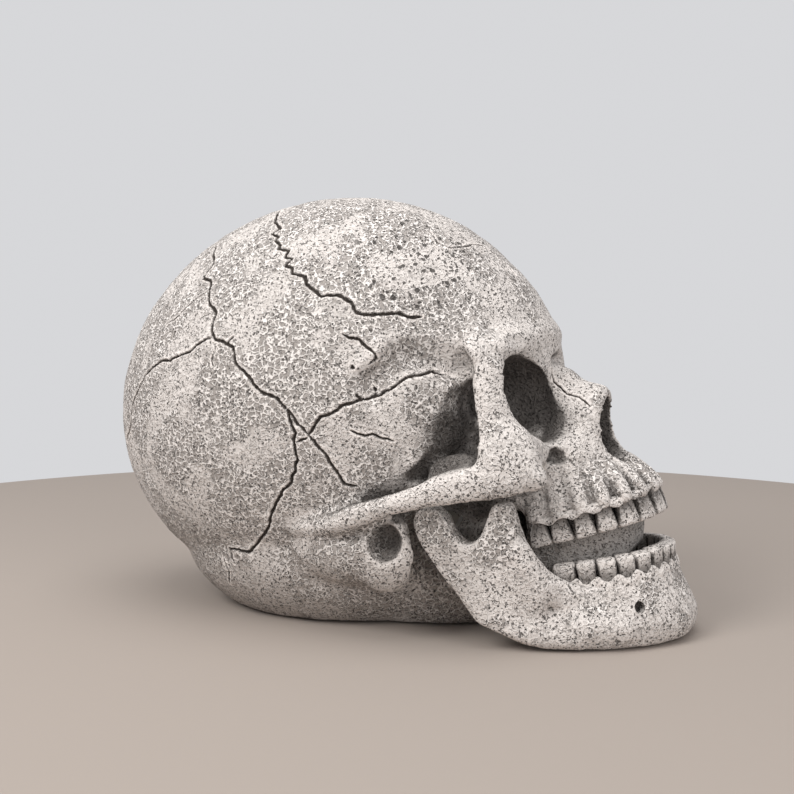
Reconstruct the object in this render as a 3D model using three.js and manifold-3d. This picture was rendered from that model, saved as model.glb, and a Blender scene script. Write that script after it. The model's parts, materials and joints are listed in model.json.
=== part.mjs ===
// A hollow moulded skull for an outdoor Halloween display: two bonded half shells on a base plate,
// and a lower jaw that hangs on two shoulder screws and drops open when the skull is lifted.
// Millimetres. +X is where the face looks, +Y is the skull's left, +Z is up, the floor is Z = 0.

import * as THREE from "three";
import { mergeVertices } from "three/addons/utils/BufferGeometryUtils.js";
import Module from "manifold-3d";

const wasm = await Module();
wasm.setup();

// Driving sizes: shells, fits and fasteners
const wall = 4; // thickness of the moulded shell
const fitGap = 0.3; // between pieces that seat on each other
const plateThickness = 4;
const plateX = -28; // middle of the base plate
const plateHalfLength = 74;
const plateHalfWidth = 44;
const plateLedge = 10; // rim of the shell that the base plate is screwed to
const footDrop = 1.5; // how far the rubber feet stand below the shell's rim
const footRadius = 8;
const footHeight = 4;
const screwRadius = 2;
const screwHeadRadius = 4;
const screwHeadHeight = 2;
const screwLength = 12; // base screws, under the head
const dowelRadius = 3;
const dowelLength = 14;
const dowelBossRadius = 8;

// Driving sizes: the brain case
const craniumLength = 284;
const craniumWidth = 200;
const craniumTop = 248;
const craniumBottom = 6;
const craniumX = -40; // middle of its length
const craniumTilt = THREE.MathUtils.degToRad(18); // the back of the head hangs lower than the brow
const foreheadRise = 231; // height of the forehead above the floor, over its own centre
const foreheadX = 15;
const foreheadHalfLength = 91;
const foreheadHalfWidth = 76;
const baseHalfHeight = 50; // the mass under the brain case
const baseFlare = 24; // how far it spreads past the base plate
const baseSink = 12; // how much of it is cut flat at the floor

// Driving sizes: the face, from the root of the nose
const noseRootZ = 150;
const noseTipReach = 29; // forward of the nose root
const noseTipDrop = 11;
const noseHalfWidth = 15;
const noseDepth = 26; // of the nose hollow, behind the tip
const orbitY = 40;
const orbitZ = 134;
const orbitHalfWidth = 23;
const orbitHalfHeight = 23;
const orbitDepth = 42;
const cheekY = 78; // middle of the cheekbone, out from the mid plane
const cheekZ = 98;
const archY = 87; // centre line of the cheek arch
const archFrontZ = 90;
const archThickness = 5; // half of the cheek arch's thickness
const archBreadth = 8; // half of its height

// Driving sizes: the bite
const biteTilt = THREE.MathUtils.degToRad(17); // the upper teeth rise towards the front
const lowerBiteTilt = THREE.MathUtils.degToRad(10);
const biteFrontX = 167; // edge of the upper front teeth
const upperBiteZ = 70;
const lowerBiteZ = 53.5;
const lowerBiteFrontX = 172;
const upperCrownHeight = 13;
const lowerCrownHeight = 11;
const toothRootDepth = 4;
const toothThickness = 8;
const rootInset = 3; // root strip, behind the front of the crowns
const upperTeethPerSide = 7;
const lowerTeethPerSide = 8;
const gumLip = 2; // how far the gum stands proud of the teeth
const toothGap = 1.2; // narrowing of each crown beside its neighbour
const archDepth = 69; // front teeth to last molar
const lowerArchDepth = 60;
const archHalfWidth = 46;
const blockClearance = 3; // mouth block, inside the lower jaw
const blockChamfer = 26; // its foot slopes back, clear of the chin as the jaw drops

// Driving sizes: the lower jaw
const jawFrontX = 182;
const jawHalfWidth = 77; // outside of the upright branches
const jawThickness = 13;
const chinThickness = 24;
const mouthHalfWidth = 35; // inside of the jaw, between the teeth
const jawFloorHeight = 14; // web across the inside of the chin, which the mouth block stands on
const pivotX = 53;
const pivotZ = 66;
const shankRadius = 3;
const bushWall = 2;
const bushFlange = 1.5;
const bossRadius = 11;
const bossInset = 20; // length of the pivot boss inwards from the jaw's inner face
const threadDepth = 9; // of the shoulder screw in the jaw
const shoulderHeadRadius = 6;
const shoulderHeadHeight = 4;
const washerThickness = 1;
const jawDrop = THREE.MathUtils.degToRad(14); // how far the jaw hangs open
const branchRoom = 1.2; // round the moving jaw

// Worked out from the driving sizes
const craniumHeight = craniumTop - craniumBottom;
const craniumZ = (craniumTop + craniumBottom) / 2;
const faceX = craniumX + craniumLength / 2;
const noseTipX = faceX + noseTipReach;
const noseTipZ = noseRootZ - noseTipDrop;
const jawInnerY = jawHalfWidth - jawThickness;
const blockRearX = biteFrontX - archDepth - 4;
const foreheadHalfHeight = foreheadRise - noseRootZ + 12;

// Solids from three.js geometry

function solid(geometry, matrix) {
  const bare = geometry.index ? geometry.clone() : geometry;
  for (const name of ["normal", "uv"]) bare.deleteAttribute(name);
  if (matrix) bare.applyMatrix4(matrix);
  const merged = mergeVertices(bare, 1e-4);
  return new wasm.Manifold(
    new wasm.Mesh({
      numProp: 3,
      vertProperties: merged.attributes.position.array,
      triVerts: new Uint32Array(merged.index.array),
    }),
  );
}

function place(x, y, z, turnX = 0, turnY = 0, turnZ = 0) {
  const turn = new THREE.Quaternion().setFromEuler(new THREE.Euler(turnX, turnY, turnZ, "ZYX"));
  return new THREE.Matrix4().compose(new THREE.Vector3(x, y, z), turn, new THREE.Vector3(1, 1, 1));
}

function ellipsoid(halfX, halfY, halfZ, matrix, detail = 4) {
  const ball = new THREE.IcosahedronGeometry(1, detail).scale(halfX, halfY, halfZ);
  return solid(ball, matrix);
}

// A prism of a side outline in X and Z, across the mid plane.
function sidePrism(shape, halfWidth) {
  const settings = { depth: 2 * halfWidth, bevelEnabled: false, curveSegments: 6 };
  const prism = new THREE.ExtrudeGeometry(shape, settings);
  return solid(prism, new THREE.Matrix4().makeRotationX(Math.PI / 2).setPosition(0, halfWidth, 0));
}

// A prism of a plan outline in X and Y, from a low to a high level.
function planPrism(shape, low, high, matrix) {
  const prism = new THREE.ExtrudeGeometry(shape, { depth: high - low, bevelEnabled: false, curveSegments: 8 });
  prism.translate(0, 0, low);
  return solid(prism, matrix);
}

function box(sizeX, sizeY, sizeZ, matrix) {
  return solid(new THREE.BoxGeometry(sizeX, sizeY, sizeZ), matrix);
}

function rod(radius, length, matrix, sides = 16) {
  return solid(new THREE.CylinderGeometry(radius, radius, length, sides), matrix);
}

// A rod along Y between two distances from the mid plane, on one side of the skull.
function crossRod(radius, side, fromY, toY, x, z, sides) {
  return rod(radius, toY - fromY, place(x, (side * (fromY + toY)) / 2, z), sides);
}

// A rod along Z between two heights.
function uprightRod(radius, low, high, x, y) {
  return rod(radius, high - low, place(x, y, (low + high) / 2, Math.PI / 2));
}

// A closed skin through loops of as many points each, whose two ends are closed by a strip
// between the halves of the loop.
function loft(loops) {
  const count = loops[0].length;
  const corners = [];
  const quad = (a, b, c, d) => corners.push(a, b, c, a, c, d);
  for (let level = 0; level + 1 < loops.length; level++) {
    for (let i = 0; i < count; i++) {
      const next = (i + 1) % count;
      quad(loops[level][i], loops[level][next], loops[level + 1][next], loops[level + 1][i]);
    }
  }
  const last = loops[loops.length - 1];
  for (let i = 0; i + 1 < count / 2; i++) {
    quad(loops[0][i], loops[0][count - 1 - i], loops[0][count - 2 - i], loops[0][i + 1]);
    quad(last[i], last[i + 1], last[count - 2 - i], last[count - 1 - i]);
  }
  let volume = 0;
  for (let i = 0; i < corners.length; i += 3) {
    volume += corners[i].dot(corners[i + 1].clone().cross(corners[i + 2]));
  }
  return solid(new THREE.BufferGeometry().setFromPoints(volume < 0 ? corners.reverse() : corners));
}

// A bar of bone through stations of x, distance out, z, half thickness and half breadth.
// Its breadth lies along "up", which is given for the left side.
function limb(stations, up, side) {
  const spots = stations.map(([x, y, z]) => new THREE.Vector3(x, side * y, z));
  const steps = 12;
  const loops = stations.map(([, , , thick, broad], i) => {
    const before = spots[Math.max(i - 1, 0)];
    const after = spots[Math.min(i + 1, spots.length - 1)];
    const along = after.clone().sub(before).normalize();
    const across = along.clone().cross(new THREE.Vector3(up.x, side * up.y, up.z)).normalize();
    const rise = across.clone().cross(along);
    return Array.from({ length: steps }, (_, k) => {
      const angle = (2 * Math.PI * k) / steps;
      return spots[i]
        .clone()
        .addScaledVector(across, thick * Math.cos(angle))
        .addScaledVector(rise, broad * Math.sin(angle));
    });
  });
  return loft(loops);
}

// A hollow behind a drawn rim, which narrows like a bowl towards a point inside and flares in front.
function bowl(rim, apex, fullness, flare, side, grow) {
  const spot = ([x, y, z]) => new THREE.Vector3(x, side * y, z);
  const edge = new THREE.CatmullRomCurve3(rim.map(spot), true).getPoints(grow ? 12 : 24).slice(0, -1);
  const middle = edge.reduce((sum, p) => sum.add(p), new THREE.Vector3()).divideScalar(edge.length);
  const axis = spot(apex).sub(middle);
  const wider = 1 + grow / edge[0].distanceTo(middle);
  const deeper = 1 + grow / axis.length();
  const loops = [-0.7, -0.12, 0, 0.3, 0.6, 0.85, 0.97].map((depth) => {
    const size = depth > 0 ? (1 - depth ** fullness) ** (1 / fullness) : 1 - flare * depth;
    return edge.map((p) =>
      p
        .clone()
        .sub(middle)
        .multiplyScalar(size * wider)
        .add(middle)
        .addScaledVector(axis, depth * deeper),
    );
  });
  return loft(loops);
}

function joined(pieces) {
  return pieces.reduce((all, piece) => all.add(piece));
}

function bothSides(make) {
  return joined([-1, 1].map(make));
}

function meshOf(name, body, material) {
  const made = body.getMesh();
  const geometry = new THREE.BufferGeometry()
    .setAttribute("position", new THREE.BufferAttribute(new Float32Array(made.vertProperties), 3))
    .setIndex(new THREE.BufferAttribute(new Uint32Array(made.triVerts), 1));
  geometry.computeVertexNormals();
  const mesh = new THREE.Mesh(geometry, material);
  mesh.name = name;
  return mesh;
}

// The tooth line: half of an arch seen from above, in the tilted frame of a tooth row,
// with its front at the origin. It is drawn from the right molar round to the left one.
function toothLine(depth, inset) {
  const points = [
    [-depth, archHalfWidth - inset],
    [-depth * 0.55, archHalfWidth * 0.94 - inset],
    [-depth * 0.22, archHalfWidth * 0.68 - inset * 0.8],
    [-depth * 0.05 - inset * 0.7, archHalfWidth * 0.3 - inset * 0.3],
  ];
  const right = points.map(([x, y]) => new THREE.Vector2(x, -y));
  const left = points.map(([x, y]) => new THREE.Vector2(x, y)).reverse();
  return new THREE.SplineCurve([...right, new THREE.Vector2(-inset, 0), ...left]);
}

// A closed band between two insets of the tooth line.
function toothBand(depth, outer, inner) {
  const steps = 16;
  const outside = toothLine(depth, outer).getSpacedPoints(steps);
  const inside = toothLine(depth, inner).getSpacedPoints(steps).reverse();
  return new THREE.Shape([...outside, ...inside]);
}

const upperBite = place(biteFrontX, 0, upperBiteZ, 0, -biteTilt);
const lowerBite = new THREE.Matrix4()
  .makeShear(0, Math.tan(lowerBiteTilt), 0, 0, 0, 0)
  .setPosition(lowerBiteFrontX, 0, lowerBiteZ);

// A row of crowns on a root strip. "up" is 1 where the crowns stand up from the gum.
function toothRow(frame, depth, crownHeight, up, perSide) {
  const neck = -up * (crownHeight - toothRootDepth / 3);
  const root = -up * (crownHeight + toothRootDepth);
  const band = toothBand(depth, rootInset, toothThickness);
  const strip = planPrism(band, Math.min(neck, root), Math.max(neck, root), frame);
  const line = toothLine(depth, toothThickness / 2);
  const count = 2 * perSide;
  const width = line.getLength() / count - toothGap;
  const height = crownHeight - fitGap;
  const crowns = Array.from({ length: count }, (_, i) => {
    const share = (i + 0.5) / count;
    const at = line.getPointAt(share);
    const along = line.getTangentAt(share);
    const crown = new THREE.BoxGeometry(width, toothThickness, height, 1, 2, 1);
    const spot = crown.getAttribute("position");
    for (let v = 0; v < spot.count; v++) {
      const round = 1 - 0.12 * Math.abs(spot.getY(v) / (toothThickness / 2));
      spot.setX(v, spot.getX(v) * round);
    }
    const stand = place(at.x, at.y, (-up * height) / 2, 0, 0, Math.atan2(along.y, along.x));
    return solid(crown, stand.premultiply(frame));
  });
  return joined([strip, ...crowns]);
}

// The groove that a tooth row's root strip is bonded into.
function toothGroove(frame, depth, crownHeight, up) {
  const open = -up * (crownHeight - toothRootDepth);
  const root = -up * (crownHeight + toothRootDepth + fitGap);
  const band = toothBand(depth + fitGap, rootInset - fitGap, toothThickness + fitGap);
  return planPrism(band, Math.min(open, root), Math.max(open, root), frame);
}

// The skull's outer form

function craniumForm(inset) {
  const main = ellipsoid(
    craniumLength / 2 - inset,
    craniumWidth / 2 - inset,
    craniumHeight / 2 - inset,
    place(craniumX, 0, craniumZ, 0, -craniumTilt),
    inset ? 4 : 7,
  );
  const forehead = ellipsoid(
    foreheadHalfLength - inset,
    foreheadHalfWidth - inset,
    foreheadHalfHeight - inset,
    place(foreheadX, 0, foreheadRise - foreheadHalfHeight),
    inset ? 3 : 5,
  );
  return main.add(forehead);
}

// The mass under the brain case, between the branches of the jaw.
function baseForm() {
  const rear = ellipsoid(
    plateHalfLength + baseFlare,
    jawInnerY + baseFlare / 3,
    baseHalfHeight,
    place(plateX - 6, 0, baseHalfHeight - baseSink),
  );
  const frontX = blockRearX - blockClearance;
  const front = ellipsoid(
    frontX - plateX,
    jawInnerY - baseFlare / 2,
    baseHalfHeight,
    place(plateX, 0, baseHalfHeight - baseSink / 2),
  );
  return rear.add(front);
}

function cheekForm(side) {
  const turn = (x, y, z) => [x * side, y, z * side].map(THREE.MathUtils.degToRad);
  const egg = (halfX, halfY, halfZ, x, y, z, turns) =>
    ellipsoid(halfX, halfY, halfZ, place(x, side * y, z, ...turn(...turns)), 3);
  const pillar = [
    [faceX - 36, orbitY + 14, orbitZ + 38, 7, 8],
    [faceX - 21, orbitY + 22, orbitZ + 16, 6.5, 11],
    [faceX - 18, orbitY + 25, orbitZ + 3, 6, 10.5],
    [faceX - 16, orbitY + 26, orbitZ - 10, 6.5, 12],
    [faceX - 4, orbitY + 28, cheekZ + 2, 9, 13],
  ];
  const arch = [
    [faceX + 5, cheekY - 9, archFrontZ + 6, 8, 8],
    [faceX - 6, cheekY - 1, archFrontZ + 4, archThickness + 1, archBreadth + 3],
    [faceX - 22, archY - 4, archFrontZ + 2, archThickness, archBreadth + 2],
    [faceX - 38, archY - 2, archFrontZ - 2, archThickness, archBreadth],
    [faceX - 62, archY, archFrontZ - 10, archThickness, archBreadth - 2],
    [faceX - 84, archY, archFrontZ - 18, archThickness, archBreadth - 2],
    [faceX - 100, archY - 2, archFrontZ - 24, archThickness + 1, archBreadth - 2],
    [faceX - 118, archY - 6, archFrontZ - 28, archThickness + 2, archBreadth - 3],
  ];
  return joined([
    limb(pillar, new THREE.Vector3(0.74, -0.68, 0), side),
    limb(arch, new THREE.Vector3(0, 0, 1), side),
    egg(15, 14, 15, faceX + 2, cheekY - 14, cheekZ + 4, [0, -10, -15]),
    egg(9, 9, 7, faceX + 7, cheekY - 9, cheekZ - 3, [0, -12, -30]),
    egg(18, 16, 13, faceX - 4, cheekY - 26, cheekZ + 8, [0, 0, -20]),
    egg(18, 9, 19, faceX - 7, cheekY - 7, cheekZ + 8, [24, 0, -35]),
    egg(26, 18, 13, faceX - 42, archY - 23, cheekZ - 3, [0, 0, 0]),
  ]);
}

function faceForm() {
  const gumX = biteFrontX + gumLip - upperCrownHeight * Math.sin(biteTilt);
  const gumZ = upperBiteZ + upperCrownHeight / Math.cos(biteTilt) + (gumX - biteFrontX) * Math.tan(biteTilt);
  const side = new THREE.Shape();
  side.moveTo(faceX - 50, noseRootZ + 10);
  side.lineTo(faceX, noseRootZ);
  side.quadraticCurveTo(faceX + noseTipReach * 0.5, noseTipZ + 3, noseTipX, noseTipZ);
  side.lineTo(noseTipX - 2, noseTipZ - 10);
  side.quadraticCurveTo(noseTipX + 1, gumZ + 22, gumX - 20, gumZ + 15);
  side.lineTo(gumX, gumZ);
  side.lineTo(gumX - archDepth - 6, gumZ - (archDepth + 6) * Math.tan(biteTilt));
  side.lineTo(faceX - 50, cheekZ - 30);
  const halfWidth = archHalfWidth + gumLip;
  const plan = new THREE.Shape();
  plan.moveTo(faceX - 60, -halfWidth - 2);
  plan.lineTo(gumX - archDepth * 0.6, -halfWidth);
  plan.bezierCurveTo(gumX - archDepth * 0.2, -halfWidth * 0.9, gumX, -halfWidth * 0.5, gumX, 0);
  const sideX = gumX - archDepth * 0.6;
  plan.bezierCurveTo(gumX, halfWidth * 0.5, gumX - archDepth * 0.2, halfWidth * 0.9, sideX, halfWidth);
  plan.lineTo(faceX - 60, halfWidth + 2);
  const jawBlock = sidePrism(side, archHalfWidth + 10).intersect(planPrism(plan, 0, noseRootZ + 20));
  // The nose narrows the upper face: a wedge of nasal bone, and the cheeks fall away beside it.
  const trimmed = joined(
    [-1, 1].map((s) => ellipsoid(40, 30, 34, place(noseTipX + 12, s * (noseHalfWidth + 32), orbitZ - 6))),
  );
  return jawBlock.subtract(trimmed);
}

function browForm(side) {
  const stations = [
    [faceX - 33, orbitY + 20, orbitZ + 24, 8, 9],
    [faceX - 21, orbitY + 13, orbitZ + 28, 8, 9],
    [faceX - 16, orbitY, orbitZ + 31, 8, 9],
    [faceX - 11, orbitY - 18, noseRootZ + 15, 8, 10],
    [faceX - 8, 6, noseRootZ + 14, 8, 11],
    [faceX - 8, -6, noseRootZ + 14, 8, 11],
  ];
  return limb(stations, new THREE.Vector3(0, 0, 1), side);
}

function mastoidForm(side) {
  return ellipsoid(21, 15, 25, place(pivotX - 29, side * (jawInnerY + 13), pivotZ - 13, 0, -0.25));
}

// Hollows in the face, each grown by "grow" where the shell's wall has to pass behind it

function orbitHollow(side, grow) {
  const [half, tall] = [orbitHalfWidth, orbitHalfHeight];
  const rim = [
    [faceX - 11, orbitY + half, orbitZ + 4],
    [faceX - 11, orbitY + half * 0.8, orbitZ + tall * 0.7],
    [faceX - 8, orbitY + half * 0.35, orbitZ + tall],
    [faceX - 4, orbitY - half * 0.3, orbitZ + tall * 0.9],
    [faceX + 1, orbitY - half * 0.87, orbitZ + tall * 0.48],
    [faceX + 4, orbitY - half, orbitZ - tall * 0.17],
    [faceX + 5, orbitY - half * 0.95, orbitZ - tall * 0.7],
    [faceX + 4, orbitY - half * 0.5, orbitZ - tall],
    [faceX, orbitY + half * 0.13, orbitZ - tall],
    [faceX - 7, orbitY + half * 0.78, orbitZ - tall * 0.5],
  ];
  return bowl(rim, [faceX - 5 - orbitDepth, orbitY / 2, orbitZ - 2], 2, 0.5, side, grow);
}

function noseHollow(grow) {
  const pear = new THREE.Shape();
  const top = noseTipZ + grow - 2;
  const bottom = upperBiteZ + upperCrownHeight + 12 - grow;
  const half = noseHalfWidth + grow;
  pear.moveTo(0, top);
  pear.bezierCurveTo(half * 0.8, top - 8, half, bottom + 22, half, bottom + 12);
  pear.quadraticCurveTo(half, bottom, 0, bottom);
  pear.quadraticCurveTo(-half, bottom, -half, bottom + 12);
  pear.bezierCurveTo(-half, bottom + 22, -half * 0.8, top - 8, 0, top);
  const depth = biteFrontX - noseTipX + noseDepth + grow;
  const prism = new THREE.ExtrudeGeometry(pear, { depth, bevelEnabled: false, curveSegments: 6 });
  const upright = new THREE.Matrix4().makeBasis(
    new THREE.Vector3(0, 1, 0),
    new THREE.Vector3(0, 0, 1),
    new THREE.Vector3(1, 0, 0),
  );
  return solid(prism, upright.setPosition(noseTipX - noseDepth - grow, 0, 0));
}

function fossaHollow(side, grow) {
  const rim = [
    [faceX - 30, archY - 21, orbitZ + 18],
    [faceX - 26, archY - 16, orbitZ + 4],
    [faceX - 24, archY - 12, orbitZ - 12],
    [faceX - 23, archY - 6, cheekZ + 6],
    [faceX - 40, archY - 3, archFrontZ + 7],
    [faceX - 62, archY, archFrontZ - 2],
    [faceX - 68, archY + 1, archFrontZ + 4],
    [faceX - 54, archY - 3, cheekZ + 12],
    [faceX - 48, archY - 7, orbitZ - 8],
    [faceX - 42, archY - 12, orbitZ + 10],
  ];
  return bowl(rim, [faceX - 29, archY - 31, cheekZ + 16], 1.3, 0.2, side, grow);
}

function earHollow(side, grow) {
  const at = place(pivotX - 23, side * (jawInnerY + 27), pivotZ - 9);
  return ellipsoid(9 + grow, 9.5 + grow, 10.5 + grow, at, 2);
}

function hollows(grow) {
  const paired = (side) =>
    joined([orbitHollow(side, grow), fossaHollow(side, grow), earHollow(side, grow)]);
  return bothSides(paired).add(noseHollow(grow));
}

// The opening under the skull, its base plate and what fastens it

const plateTop = footDrop + plateThickness;
const screwSpots = [
  [1, 1],
  [1, -1],
  [-1, 1],
  [-1, -1],
].map(([front, left]) => {
  const turn = Math.PI / 4;
  const ledgeMiddle = plateLedge / 2;
  return [
    plateX + front * (plateHalfLength - ledgeMiddle) * Math.cos(turn),
    left * (plateHalfWidth - ledgeMiddle) * Math.sin(turn),
  ];
});
const footSpots = [
  [plateX + plateHalfLength * 0.62, 0],
  [plateX - plateHalfLength * 0.45, plateHalfWidth * 0.42],
  [plateX - plateHalfLength * 0.45, -plateHalfWidth * 0.42],
];

function plateOutline(shrink) {
  const outline = new THREE.Shape();
  outline.absellipse(plateX, 0, plateHalfLength - shrink, plateHalfWidth - shrink, 0, 2 * Math.PI);
  return new THREE.Shape(outline.getPoints(10).slice(0, -1));
}

function screw(x, y, headZ) {
  const head = uprightRod(screwHeadRadius, headZ - screwHeadHeight, headZ, x, y);
  const shank = uprightRod(screwRadius, headZ - 0.01, headZ + screwLength, x, y);
  return head.add(shank);
}

function screwClearance(x, y, headZ) {
  const head = uprightRod(screwHeadRadius + fitGap, headZ - 3 * screwHeadHeight, headZ + fitGap, x, y);
  const shank = uprightRod(screwRadius + fitGap, headZ, headZ + screwLength + fitGap, x, y);
  return head.add(shank);
}

const screwHeadZ = footDrop + screwHeadHeight + fitGap;

function basePlate() {
  const plate = planPrism(plateOutline(fitGap), footDrop, plateTop);
  const seats = footSpots.map(([x, y]) =>
    uprightRod(footRadius + fitGap, footDrop - 1, footHeight + fitGap, x, y),
  );
  const holes = screwSpots.map(([x, y]) => screwClearance(x, y, screwHeadZ));
  return plate.subtract(joined([...seats, ...holes]));
}

// Dowels that line up the two half shells on the seam, each as its place and the direction of its rib,
// which runs out to the shell's wall
const crownReach = craniumHeight / 2 - wall - dowelBossRadius / 2;
const rearReach = craniumLength / 2 - wall - dowelBossRadius / 2;
const dowelSpots = {
  crown: [
    craniumX - crownReach * Math.sin(craniumTilt),
    craniumZ + crownReach * Math.cos(craniumTilt),
    craniumTilt + Math.PI / 2,
  ],
  rear: [
    craniumX - rearReach * Math.cos(craniumTilt),
    craniumZ - rearReach * Math.sin(craniumTilt),
    craniumTilt + Math.PI,
  ],
  brow: [foreheadX + foreheadHalfLength - wall - dowelBossRadius / 2, foreheadRise - foreheadHalfHeight + 10, 0],
};

function dowelBoss([x, z, outward]) {
  const half = dowelLength / 2 + wall;
  const reach = craniumLength / 4;
  const mid = reach / 2;
  const middle = place(x + mid * Math.cos(outward), 0, z + mid * Math.sin(outward), 0, -outward);
  const rib = box(reach, 2 * half, wall, middle);
  return crossRod(dowelBossRadius, 1, -half, half, x, z, 12).add(rib);
}

// The jaw's pivots, one on each side

const bossOuterY = jawInnerY - 2 * fitGap - bushFlange;
const bossInnerY = jawInnerY - bossInset;
const headY = bossInnerY - fitGap - washerThickness - fitGap;

function pivotBush(side) {
  const outer = crossRod(shankRadius + fitGap + bushWall, side, bossInnerY, bossOuterY + fitGap, pivotX, pivotZ);
  const flange = crossRod(
    shankRadius + fitGap + 2 * bushWall,
    side,
    bossOuterY + fitGap,
    bossOuterY + fitGap + bushFlange,
    pivotX,
    pivotZ,
  );
  const bore = crossRod(shankRadius + fitGap, side, bossInnerY - 1, jawInnerY, pivotX, pivotZ);
  return outer.add(flange).subtract(bore);
}

function shoulderScrew(side) {
  const head = crossRod(shoulderHeadRadius, side, headY - shoulderHeadHeight, headY, pivotX, pivotZ);
  const shank = crossRod(shankRadius, side, headY - 0.01, jawInnerY + threadDepth, pivotX, pivotZ);
  return head.add(shank);
}

function pivotWasher(side) {
  const disc = crossRod(shoulderHeadRadius + 1, side, headY + fitGap, headY + fitGap + washerThickness, pivotX, pivotZ);
  return disc.subtract(crossRod(shankRadius + fitGap, side, headY, bossInnerY, pivotX, pivotZ));
}

// The two half shells

function skullShell() {
  const form = joined([
    craniumForm(0),
    baseForm(),
    faceForm(),
    ...[-1, 1].flatMap((side) => [cheekForm(side), browForm(side), mastoidForm(side)]),
  ]);
  const cavity = craniumForm(wall).subtract(hollows(wall));
  const aboveFloor = box(600, 400, 400, place(0, 0, footDrop + 200));
  const opening = planPrism(plateOutline(plateLedge), 0, craniumZ);
  const rebate = planPrism(plateOutline(0), 0, plateTop + fitGap);
  const bosses = bothSides((side) => crossRod(bossRadius, side, bossInnerY, bossOuterY, pivotX, pivotZ));
  const bores = bothSides((side) =>
    crossRod(shankRadius + bushWall + 2 * fitGap, side, bossInnerY - 1, jawInnerY, pivotX, pivotZ),
  );
  const screwPockets = bothSides((side) =>
    crossRod(shoulderHeadRadius + 2, side, headY - 2 * bossInset, bossInnerY, pivotX, pivotZ),
  );
  const dowelBosses = joined(Object.values(dowelSpots).map(dowelBoss));
  const dowelHoles = joined(
    Object.values(dowelSpots).map(([x, z]) =>
      crossRod(dowelRadius + fitGap, 1, -dowelLength / 2 - fitGap, dowelLength / 2 + fitGap, x, z),
    ),
  );
  const screwHoles = joined(screwSpots.map(([x, y]) => screwClearance(x, y, screwHeadZ)));
  const jawRoom = jawSweep();
  return form
    .subtract(hollows(0))
    .subtract(cavity)
    .add(bosses)
    .add(dowelBosses.intersect(craniumForm(0)))
    .subtract(opening.subtract(dowelBosses))
    .subtract(jawRoom)
    .subtract(joined([rebate, bores, screwPockets, dowelHoles, screwHoles]))
    .subtract(toothGroove(upperBite, archDepth, upperCrownHeight, -1))
    .intersect(aboveFloor);
}

function halfShell(shell, side) {
  return shell.intersect(box(600, 300, 600, place(0, side * (150 + fitGap / 2), 150)));
}

// The lower jaw

const lowerGumFront = lowerBiteZ - lowerCrownHeight;
const lowerGumAt = (x) => lowerGumFront - (lowerBiteFrontX - x) * Math.tan(lowerBiteTilt);

function jawOutline() {
  const gumRearX = lowerBiteFrontX - lowerArchDepth + 3;
  const shape = new THREE.Shape();
  shape.moveTo(pivotX - 10, pivotZ + 2);
  shape.quadraticCurveTo(pivotX - 7, pivotZ + 11, pivotX + 3, pivotZ + 9.5);
  shape.quadraticCurveTo(pivotX + 8, pivotZ + 4, pivotX + 12, pivotZ - 4);
  shape.quadraticCurveTo(pivotX + 20, pivotZ - 14, pivotX + 28, pivotZ);
  shape.quadraticCurveTo(pivotX + 37, pivotZ + 20, pivotX + 45, pivotZ + 6);
  shape.quadraticCurveTo(pivotX + 50, pivotZ - 10, pivotX + 56, pivotZ - 23);
  shape.quadraticCurveTo(gumRearX - 3, lowerGumAt(gumRearX) + 3, gumRearX, lowerGumAt(gumRearX));
  shape.lineTo(lowerBiteFrontX + gumLip / 2, lowerGumFront);
  shape.quadraticCurveTo(lowerBiteFrontX, lowerGumFront * 0.65, jawFrontX - 3, lowerGumFront * 0.5);
  shape.quadraticCurveTo(jawFrontX + 2, 8, jawFrontX - 15, 0);
  shape.lineTo(pivotX + 53, 0);
  shape.quadraticCurveTo(pivotX + 34, 4, pivotX + 24, jawFloorHeight + 2);
  shape.quadraticCurveTo(pivotX + 16, jawFloorHeight + 14, pivotX, pivotZ - 18);
  shape.quadraticCurveTo(pivotX - 9, pivotZ - 7, pivotX - 10, pivotZ + 2);
  return shape;
}

// The upright branch of one side, seen from above.
function branchPlan(side) {
  const corners = [
    [pivotX - 23, jawHalfWidth],
    [pivotX + 7, jawHalfWidth],
    [pivotX + 31, jawHalfWidth - 2],
    [pivotX + 51, jawHalfWidth - 6],
    [pivotX + 60, jawHalfWidth - 10],
    [pivotX + 60, jawInnerY - 14],
    [pivotX + 51, jawInnerY - 9],
    [pivotX + 35, jawInnerY - 2],
    [pivotX + 7, jawInnerY],
    [pivotX - 23, jawInnerY],
  ];
  return new THREE.Shape(corners.map(([x, y]) => new THREE.Vector2(x, side * y)));
}

// The jaw's lower border seen from above, from the right branch round the chin to the left one.
function jawBorder(inset, steps) {
  const half = [
    [jawFrontX - 90, jawHalfWidth - 3],
    [jawFrontX - 74, jawHalfWidth - 6],
    [jawFrontX - 50, jawHalfWidth * 0.8],
    [jawFrontX - 27, jawHalfWidth * 0.63],
    [jawFrontX - 11, jawHalfWidth * 0.43],
    [jawFrontX - 2, jawHalfWidth * 0.22],
  ];
  const right = half.map(([x, y]) => new THREE.Vector2(x, -y));
  const left = half.map(([x, y]) => new THREE.Vector2(x, y)).reverse();
  const border = new THREE.SplineCurve([...right, new THREE.Vector2(jawFrontX, 0), ...left]);
  return border.getSpacedPoints(steps).map((p, i) => {
    const along = border.getTangentAt(i / steps);
    return p.add(new THREE.Vector2(-along.y, along.x).multiplyScalar(inset));
  });
}

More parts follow.
